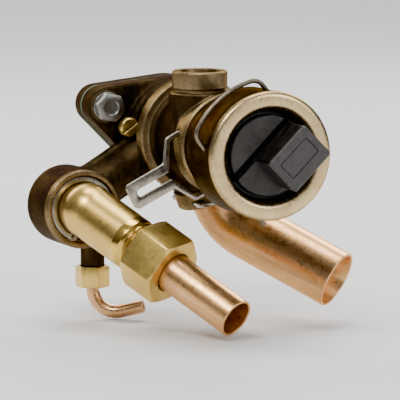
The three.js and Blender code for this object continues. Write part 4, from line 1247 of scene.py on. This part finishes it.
def build_base():
    part = piece("actuator_base", turned(
        [(0, 96.6), (16.5, 96.6), (16.5, 96.95), (15.3, 96.95), (15.3, 98.05), (16.5, 98.05),
         (16.5, 98.4), (13.8, 98.4), (13.8, 99.6), (5.4, 99.6), (5.4, 98.35), (0, 98.35)],
        corner=0.15))
    # a round hole with two flats
    radius, flat = 2.62, 1.92
    side = math.acos(flat / radius)
    hole = (arc(0, 0, radius, side, math.pi - side, 24)
            + arc(0, 0, radius, math.pi + side, 2 * math.pi - side, 24))
    cut(part, prism(hole, 96, 99, SPINDLE_PLANE, bevel=0))
    finish(part, BLACK)
    finish(piece("actuator_o_ring", turned(
        [(15.45, 97.1), (16.4, 97.05), (16.85, 97.35), (16.85, 97.65), (16.4, 97.95),
         (15.45, 97.9)], corner=0.3, steps=4)), RUBBER)


# --- hidden parts turned about the spindle: node, material, corner, segments, (radius, station)
INSIDE = [
    ("rear_seat", INNER_BRASS, 0.15, 72,
     [(8, 24.7), (13.3, 24.7), (13.3, 28.7), (12.1, 28.7), (12.1, 27.6), (9.4, 27.6),
      (8.9, 28.8), (8, 28.8)]),
    ("front_seat", INNER_BRASS, 0.15, 72,
     [(8, 49.2), (8.9, 49.2), (9.4, 50.4), (12.1, 50.4), (12.1, 49.3), (13.3, 49.3),
      (13.3, 53.3), (8, 53.3)]),
    ("stem_seal_inner", RUBBER, 0.4, 72,
     [(2.7, 69.5), (3.3, 69.2), (4.2, 69.2), (4.75, 69.6), (4.75, 70.9), (4.2, 71.3),
      (3.3, 71.3), (2.7, 71)]),
    ("stem_seal_outer", RUBBER, 0.4, 72,
     [(2.7, 72.5), (3.3, 72.3), (4.2, 72.3), (4.75, 72.6), (4.75, 73.7), (4.2, 74.05),
      (3.3, 74.05), (2.7, 73.8)]),
    ("seal_spacer", INNER_BRASS, 0.1, 72, washer(2.8, 4.75, 71.45, 72.15)),
    ("gland_bush", INNER_BRASS, 0.15, 72,
     [(2.6, 74.4), (6.9, 74.4), (6.9, 79.2), (6.4, 79.8), (4.4, 79.8), (4.4, 79), (2.6, 79)]),
    ("spring_plate", TURNED_STEEL, 0.12, 72,
     [(2.6, 92.4), (7.2, 92.4), (7.2, 92.9), (5.9, 93.45), (2.6, 93.45)]),
    ("rear_disc", RUBBER, 0.3, 72,
     [(2.6, 36.35), (10.2, 36.35), (10.6, 36.9), (10.6, 38.6), (10.1, 39.05), (2.6, 39.05)]),
    ("front_disc", RUBBER, 0.3, 72,
     [(2.6, 46.05), (10.1, 46.05), (10.6, 46.5), (10.6, 48.35), (10.2, 48.85), (2.6, 48.85)]),
    ("plunger_core", INNER_BRASS, 0.3, 72,
     [(2.6, 39.2), (9.8, 39.2), (9.8, 40.8), (5.6, 41.6), (5.6, 43.5), (9.8, 44.3),
      (9.8, 45.9), (2.6, 45.9)]),
    ("spindle", TURNED_STEEL, 0.12, 48,
     [(0, 31.5), (1.7, 31.5), (2, 31.8), (2, 36.2), (2.5, 36.2), (2.5, 93.55), (1.9, 93.55),
      (1.9, 94.35), (2.5, 94.35), (2.5, 95.2), (2, 95.7), (0, 95.7)]),
    ("rotor_bearing_rear", GREY, 0.15, 72, washer(3.8, 5.2, 98.5, 99.5)),
    ("rotor_bearing_front", GREY, 0.15, 72, washer(3.8, 5.2, 106.85, 107.9)),
    ("stator_cup_rear", ZINC, 0.15, 72,
     [(8.6, 99.8), (13.8, 99.8), (13.8, 103.1), (13.1, 103.1), (13.1, 100.5), (9.3, 100.5),
      (9.3, 103.1), (8.6, 103.1)]),
    ("stator_cup_front", ZINC, 0.15, 72,
     [(8.6, 103.3), (9.3, 103.3), (9.3, 105.9), (13.1, 105.9), (13.1, 103.3), (13.8, 103.3),
      (13.8, 106.6), (8.6, 106.6)]),
    ("coil_rear", WINDING, 0.3, 72, washer(9.5, 12.9, 100.7, 103.05)),
    ("coil_front", WINDING, 0.3, 72, washer(9.5, 12.9, 103.35, 105.7)),
    ("rotor_magnet", FERRITE, 0.12, 72,
     [(4.25, 100.2), (7.9, 100.2), (8.2, 100.5), (8.2, 105.9), (7.9, 106.2), (4.25, 106.2)]),
    ("rotor_nut", INNER_BRASS, 0.1, 72,
     [(2.7, 98.7), (3.6, 98.7), (3.6, 99.9), (4.1, 99.9), (4.1, 106.4), (3.6, 106.4),
      (3.6, 107.75), (2.7, 107.75)]),
]


def build_inside():
    for node, material, corner, seg, profile in INSIDE:
        finish(piece(node, turned(profile, corner=corner, seg=seg)), material)


def build_spindle_ends():
    finish(hex_nut("spindle_nut", 7, 33.5, 36.1, 0.4, FORWARD, rod(2.08, 32, 37)), STAINLESS)
    circlip = piece("spindle_circlip", turned(washer(2.0, 3.9, 93.65, 94.25), corner=0.1, seg=64))
    cut(circlip, prism(rect(-1.1, 1.1, 0, 6), 93, 95, SPINDLE_PLANE, bevel=0))
    finish(circlip, STAINLESS)
    screw = piece("lead_screw",
                  threaded(2.48, 0.22, 1.2, -108.6, -96.0, seg=48, step=0.12, hand=-1))
    keep(screw, prism(rect(-1.8, 1.8, -3, 3), 95.9, 108.7, SPINDLE_PLANE, bevel=0))
    finish(screw, TURNED_STEEL)


def build_spring():
    turns, radius, start, end = 4, 5.3, 80.8, 91.7
    count = turns * 40
    path = []
    for i in range(count + 1):
        share = i / count
        a = share * turns * 2 * math.pi
        # the end coils lie closer
        if share < 0.14:
            rise = share * 0.35
        elif share > 0.86:
            rise = 1 - (1 - share) * 0.35
        else:
            rise = 0.049 + (share - 0.14) / 0.72 * 0.902
        path.append(Vector((radius * math.cos(a), -(start + (end - start) * rise),
                            radius * math.sin(a))))
    spring = piece("return_spring", tube(path, 0.5, seg=14))
    finish(spring, STAINLESS, 60)
    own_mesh(spring)


def build_port_seals():
    finish(piece("common_o_ring", turned_at(
        [(11.15, 15.9), (12.0, 15.75), (12.75, 16.2), (12.75, 17.3), (12.0, 17.75),
         (11.15, 17.6)], COMMON_AXIS, corner=0.5, steps=4)), RUBBER)
    finish(piece("branch_o_ring", turned_at(
        [(7.1, -26.2), (7.8, -26.4), (8.25, -26), (8.25, -25), (7.8, -24.6), (7.1, -24.8)],
        SOCKET_AXIS, corner=0.45, steps=4)), RUBBER)
    finish(piece("union_washer", turned_at(
        washer(6.9, 9.8, OUTLET_END + 0.15, OUTLET_END + 1.6), OUTLET_AXIS, corner=0.15)), FIBRE)


# --- tails, elbow and nuts
def build_common_tail():
    steps = 28
    top = Vector((0, -COMMON_STATION, 0)) + COMMON_DIR * 14.8
    path = bent(top, COMMON_DIR, 9.6, 20, PIPE_DIR, 40, steps)
    # the tube flattens a little through its bend
    shares = [(i - 2) / steps for i in range(len(path) + 2)]
    oval = [1 - 0.02 * math.sin(math.pi * x) if 0 < x < 1 else 1.0 for x in shares]
    part = piece("common_tail", tube(path, 11, 10, seg=96, edge=0.25, oval=oval))
    join(part, turned_at([(10.6, 18.8), (12.1, 18.8), (12.6, 19.3), (12.6, 19.9), (12.1, 20.4),
                          (10.6, 20.4)], COMMON_AXIS, corner=0.3, seg=96))
    finish(part, COPPER_22, 40)


def build_heating_tail():
    end = OUTLET_END
    finish(piece("heating_tail", turned_at(
        [(6.6, end + 1.8), (9.8, end + 1.8), (9.8, end + 3.2), (7.5, end + 3.4),
         (7.5, end + 38), (6.6, end + 38)], OUTLET_AXIS, seg=96, steps=4)), COPPER_15, 40)


def build_elbow():
    end, ball = OUTLET_END, 10.6
    tilt = 11 * math.pi / 24
    # the forged turn
    part = piece(
        "union_elbow",
        sharp(rod(9.8, -40, -32.6), SOCKET_AXIS),
        sharp(rod(10.3, 0, 24), OUTLET_AXIS),
        sharp([(0, -ball), *arc(0, 0, ball, -tilt, tilt, 22), (0, ball)],
              Matrix.Translation(ELBOW)),
    )
    soft_cast(part, voxel=0.45, rounds=8, ratio=0.7)
    # the turned ends, the thread and the seat
    join(
        part,
        turned_at([(0, -33.6), (9.6, -33.6), (9.8, -33.2), (9.8, -30.8), (11.3, -30.8),
                   (11.3, -28.95), (8.1, -28.95), (8.1, -26.6), (7.0, -26.6), (7.0, -24.5),
                   (8.1, -24.5), (8.1, -23.5), (0, -23.5)], SOCKET_AXIS, corner=0.2, seg=96),
        turned_at([(0, 21), (10.3, 21), (10.3, 24.2), (9.9, 25.2), (9.0, 25.6), (9.0, 39.0),
                   (0, 39.0)], OUTLET_AXIS, corner=0.2, seg=96),
        moved(threaded(10.0, 0.62, 1.6, 24.9, end - 0.35, seg=96, step=0.16), OUTLET_AXIS),
        turned_at([(0, 30), (9.35, 30), (9.35, end - 0.1), (9.1, end), (0, end)], OUTLET_AXIS,
                  corner=0.1, seg=96),
    )
    cut(
        part,
        sharp([(0, -39), (6, -39), (6, -24.2), (6.5, -23.4), (6.5, -22), (0, -22)],
              SOCKET_AXIS, seg=64),
        sharp([(0, -1), (6.6, -1), (6.6, end - 0.6), (7.2, end + 0.1), (7.2, end + 1),
               (0, end + 1)], OUTLET_AXIS, seg=64),
    )
    finish(part, ELBOW_BRASS, 34)


def build_nuts():
    end = OUTLET_END
    hole = [(0, end - 12), (11.2, end - 12), (11.2, end - 11.4), (10.45, end - 9.8),
            (10.45, end + 3.5), (7.8, end + 3.5), (7.8, end + 4.5), (8.3, end + 5.2),
            (8.3, end + 6), (0, end + 6)]
    nut = hex_nut("union_nut", 24.5, end - 10.5, end + 5, 1.25, OUTLET_AXIS, hole)
    edge_bevel(nut, 0.16)
    finish(nut, TURNED_BRASS, 30)
    hole = [(0, 15), (4.8, 15), (4.8, 21), (2.8, 21), (2.8, 26), (0, 26)]
    nut = hex_nut("drain_nut", 11.5, 16.5, 24.5, 0.6, DRAIN_AXIS, hole)
    edge_bevel(nut, 0.12)
    finish(nut, BRASS, 30)


def build_spout():
    down = Vector((0, 0, -1))
    path = bent(DRAIN_ROOT + down * DRAIN_REACH, down, 5, 9, Vector((0.8, -0.55, 0.24)), 9, 24)
    part = piece("drain_spout", tube(path, 2.5, 1.8, edge=0.12))
    collar = washer(2.1, 4.5, DRAIN_REACH, 20.8)
    join(part, turned_at(collar, DRAIN_AXIS, corner=0.15, seg=48))
    finish(part, COPPER_5, 40)


for build in (
    build_body, build_rear_cover, build_gasket, build_bolts, build_vent_plug, build_bonnet,
    build_bonnet_clip, build_common_clip, build_retaining_clip, build_branch_circlip,
    build_housing, build_terminals, build_base, build_inside, build_spindle_ends, build_spring,
    build_port_seals, build_common_tail, build_heating_tail, build_elbow, build_nuts,
    build_spout,
):
    build()

# CAD pieces that nothing stands in for
for node, part in frame["nodes"].items():
    if node not in made:
        part.data.materials.clear()
        part.data.materials.append(INNER_BRASS)

# --- floor, world, lights and camera, in metres
CAMERA_TURN, CAMERA_RISE = math.radians(-21.5), math.radians(7.0)
CAMERA_DISTANCE, VIEW_WIDTH, SENSOR = 2.2, 0.150, 36.0
LIGHTS = [  # name, (beyond, right, up) from the middle, width, height, watts, colour
    ("key", (-0.65, -0.3, 0.8), 0.5, 0.35, 11.0, (1.0, 0.98, 0.95)),
    ("fill", (-0.6, 0.75, 0.45), 0.5, 0.6, 6.0, (0.97, 0.985, 1.0)),
    ("top", (0.15, 0.05, 0.9), 0.55, 0.4, 6.5, (1, 1, 1)),
    ("rim", (0.65, -0.6, 0.4), 0.35, 0.5, 4.5, (1.0, 0.97, 0.92)),
    ("back", (0.80, 0.30, 0.60), 0.75, 0.45, 8.0, (1, 1, 1)),
    ("far floor", (2.6, 0.0, 1.7), 3.2, 1.6, 95.0, (1, 1, 1)),
]
bpy.context.view_layer.update()
middle = (cad_lo + cad_hi) / 2
floor_z = min(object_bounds()[0].z, cad_lo.z) - 0.0004


def build_floor():
    """A wide pale floor, clear when it is looked at from below."""
    bm = bmesh.new()
    bm.faces.new([bm.verts.new((x, y, floor_z)) for x, y in
                  arc(middle.x, middle.y, 9, 0, 63 * math.pi / 32, 63)])
    mesh = bpy.data.meshes.new("floor")
    bm.to_mesh(mesh)
    bm.free()
    floor = bpy.data.objects.new("floor", mesh)
    scene.collection.objects.link(floor)
    mat = Surface("floor_look")
    vec = mat.coords()
    patches = vec.noise(scale=0.004, detail=3).ramp(zero=0.3, one=0.7)
    color = mat.mix(patches, (0.80, 0.795, 0.785), (0.83, 0.825, 0.815))
    mat.set(Base_Color=color, Roughness=0.8,
            Normal=mat.bump(vec.noise(scale=0.8), strength=0.05, distance=0.05))
    clear = mat.add("ShaderNodeBsdfTransparent")
    below = mat.add("ShaderNodeNewGeometry", "Backfacing")
    sided = mat.add("ShaderNodeMixShader", 0, {0: below, 1: mat.shader, 2: clear})
    mat.put(mat.output.inputs["Surface"], sided)
    mesh.materials.append(mat.material)


def build_world():
    """Light that grows towards the zenith; the camera sees a plain pale ground."""
    world = bpy.data.worlds.new("studio")
    scene.world = world
    world.use_nodes = True
    graph = Graph(world.node_tree)
    output = graph.tree.nodes.new("ShaderNodeOutputWorld")
    height = graph.add("ShaderNodeTexCoord", "Generated").split()[2]
    sky = graph.add("ShaderNodeValToRGB", 0, {0: height})
    stops = sky.socket.node.color_ramp.elements
    stops[0].position, stops[0].color = 0.0, (0.10, 0.10, 0.105, 1)
    stops[1].position, stops[1].color = 0.8, (0.78, 0.79, 0.81, 1)
    stops.new(0.3).color = (0.26, 0.26, 0.27, 1)
    light = graph.add("ShaderNodeBackground", 0, {"Color": sky, "Strength": 0.6})
    plain = graph.add("ShaderNodeBackground", 0, {"Color": (0.80, 0.80, 0.80), "Strength": 0.9})
    seen = graph.add("ShaderNodeLightPath", "Is Camera Ray")
    graph.put(output.inputs[0], graph.add("ShaderNodeMixShader", 0, {0: seen, 1: light, 2: plain}))


def build_lights():
    away = Vector((-math.sin(CAMERA_TURN), math.cos(CAMERA_TURN), 0))
    side = Vector((away.y, -away.x, 0))
    for name, (beyond, right, up), width, height, watts, color in LIGHTS:
        light = bpy.data.lights.new(name, "AREA")
        light.shape = "RECTANGLE"
        light.size, light.size_y = width, height
        light.energy, light.color = watts, color
        lamp = bpy.data.objects.new(name, light)
        scene.collection.objects.link(lamp)
        lamp.location = middle + away * beyond + side * right + Vector((0, 0, up))
        lamp.rotation_mode = "QUATERNION"
        aim = Vector((0, 0, -1)) if name == "far floor" else middle - lamp.location
        lamp.rotation_quaternion = aim.to_track_quat("-Z", "Y")


def build_camera():
    back = Vector((math.sin(CAMERA_TURN) * math.cos(CAMERA_RISE),
                   -math.cos(CAMERA_TURN) * math.cos(CAMERA_RISE), math.sin(CAMERA_RISE)))
    lens = bpy.data.cameras.new("camera")
    camera = bpy.data.objects.new("camera", lens)
    scene.collection.objects.link(camera)
    scene.camera = camera
    aim = Vector((middle.x - 0.0045, middle.y + 0.0005, -0.0215))
    camera.location = aim + back * CAMERA_DISTANCE
    camera.rotation_mode = "QUATERNION"
    camera.rotation_quaternion = (-back).to_track_quat("-Z", "Y")
    lens.sensor_width = SENSOR
    lens.lens = SENSOR * CAMERA_DISTANCE / VIEW_WIDTH
    lens.clip_start, lens.clip_end = 0.05, 30.0
    scene.view_settings.look = "AgX - Punchy"
    scene.view_settings.exposure = 0.22


build_floor()
build_world()
build_lights()
build_camera()

bpy.context.view_layer.update()
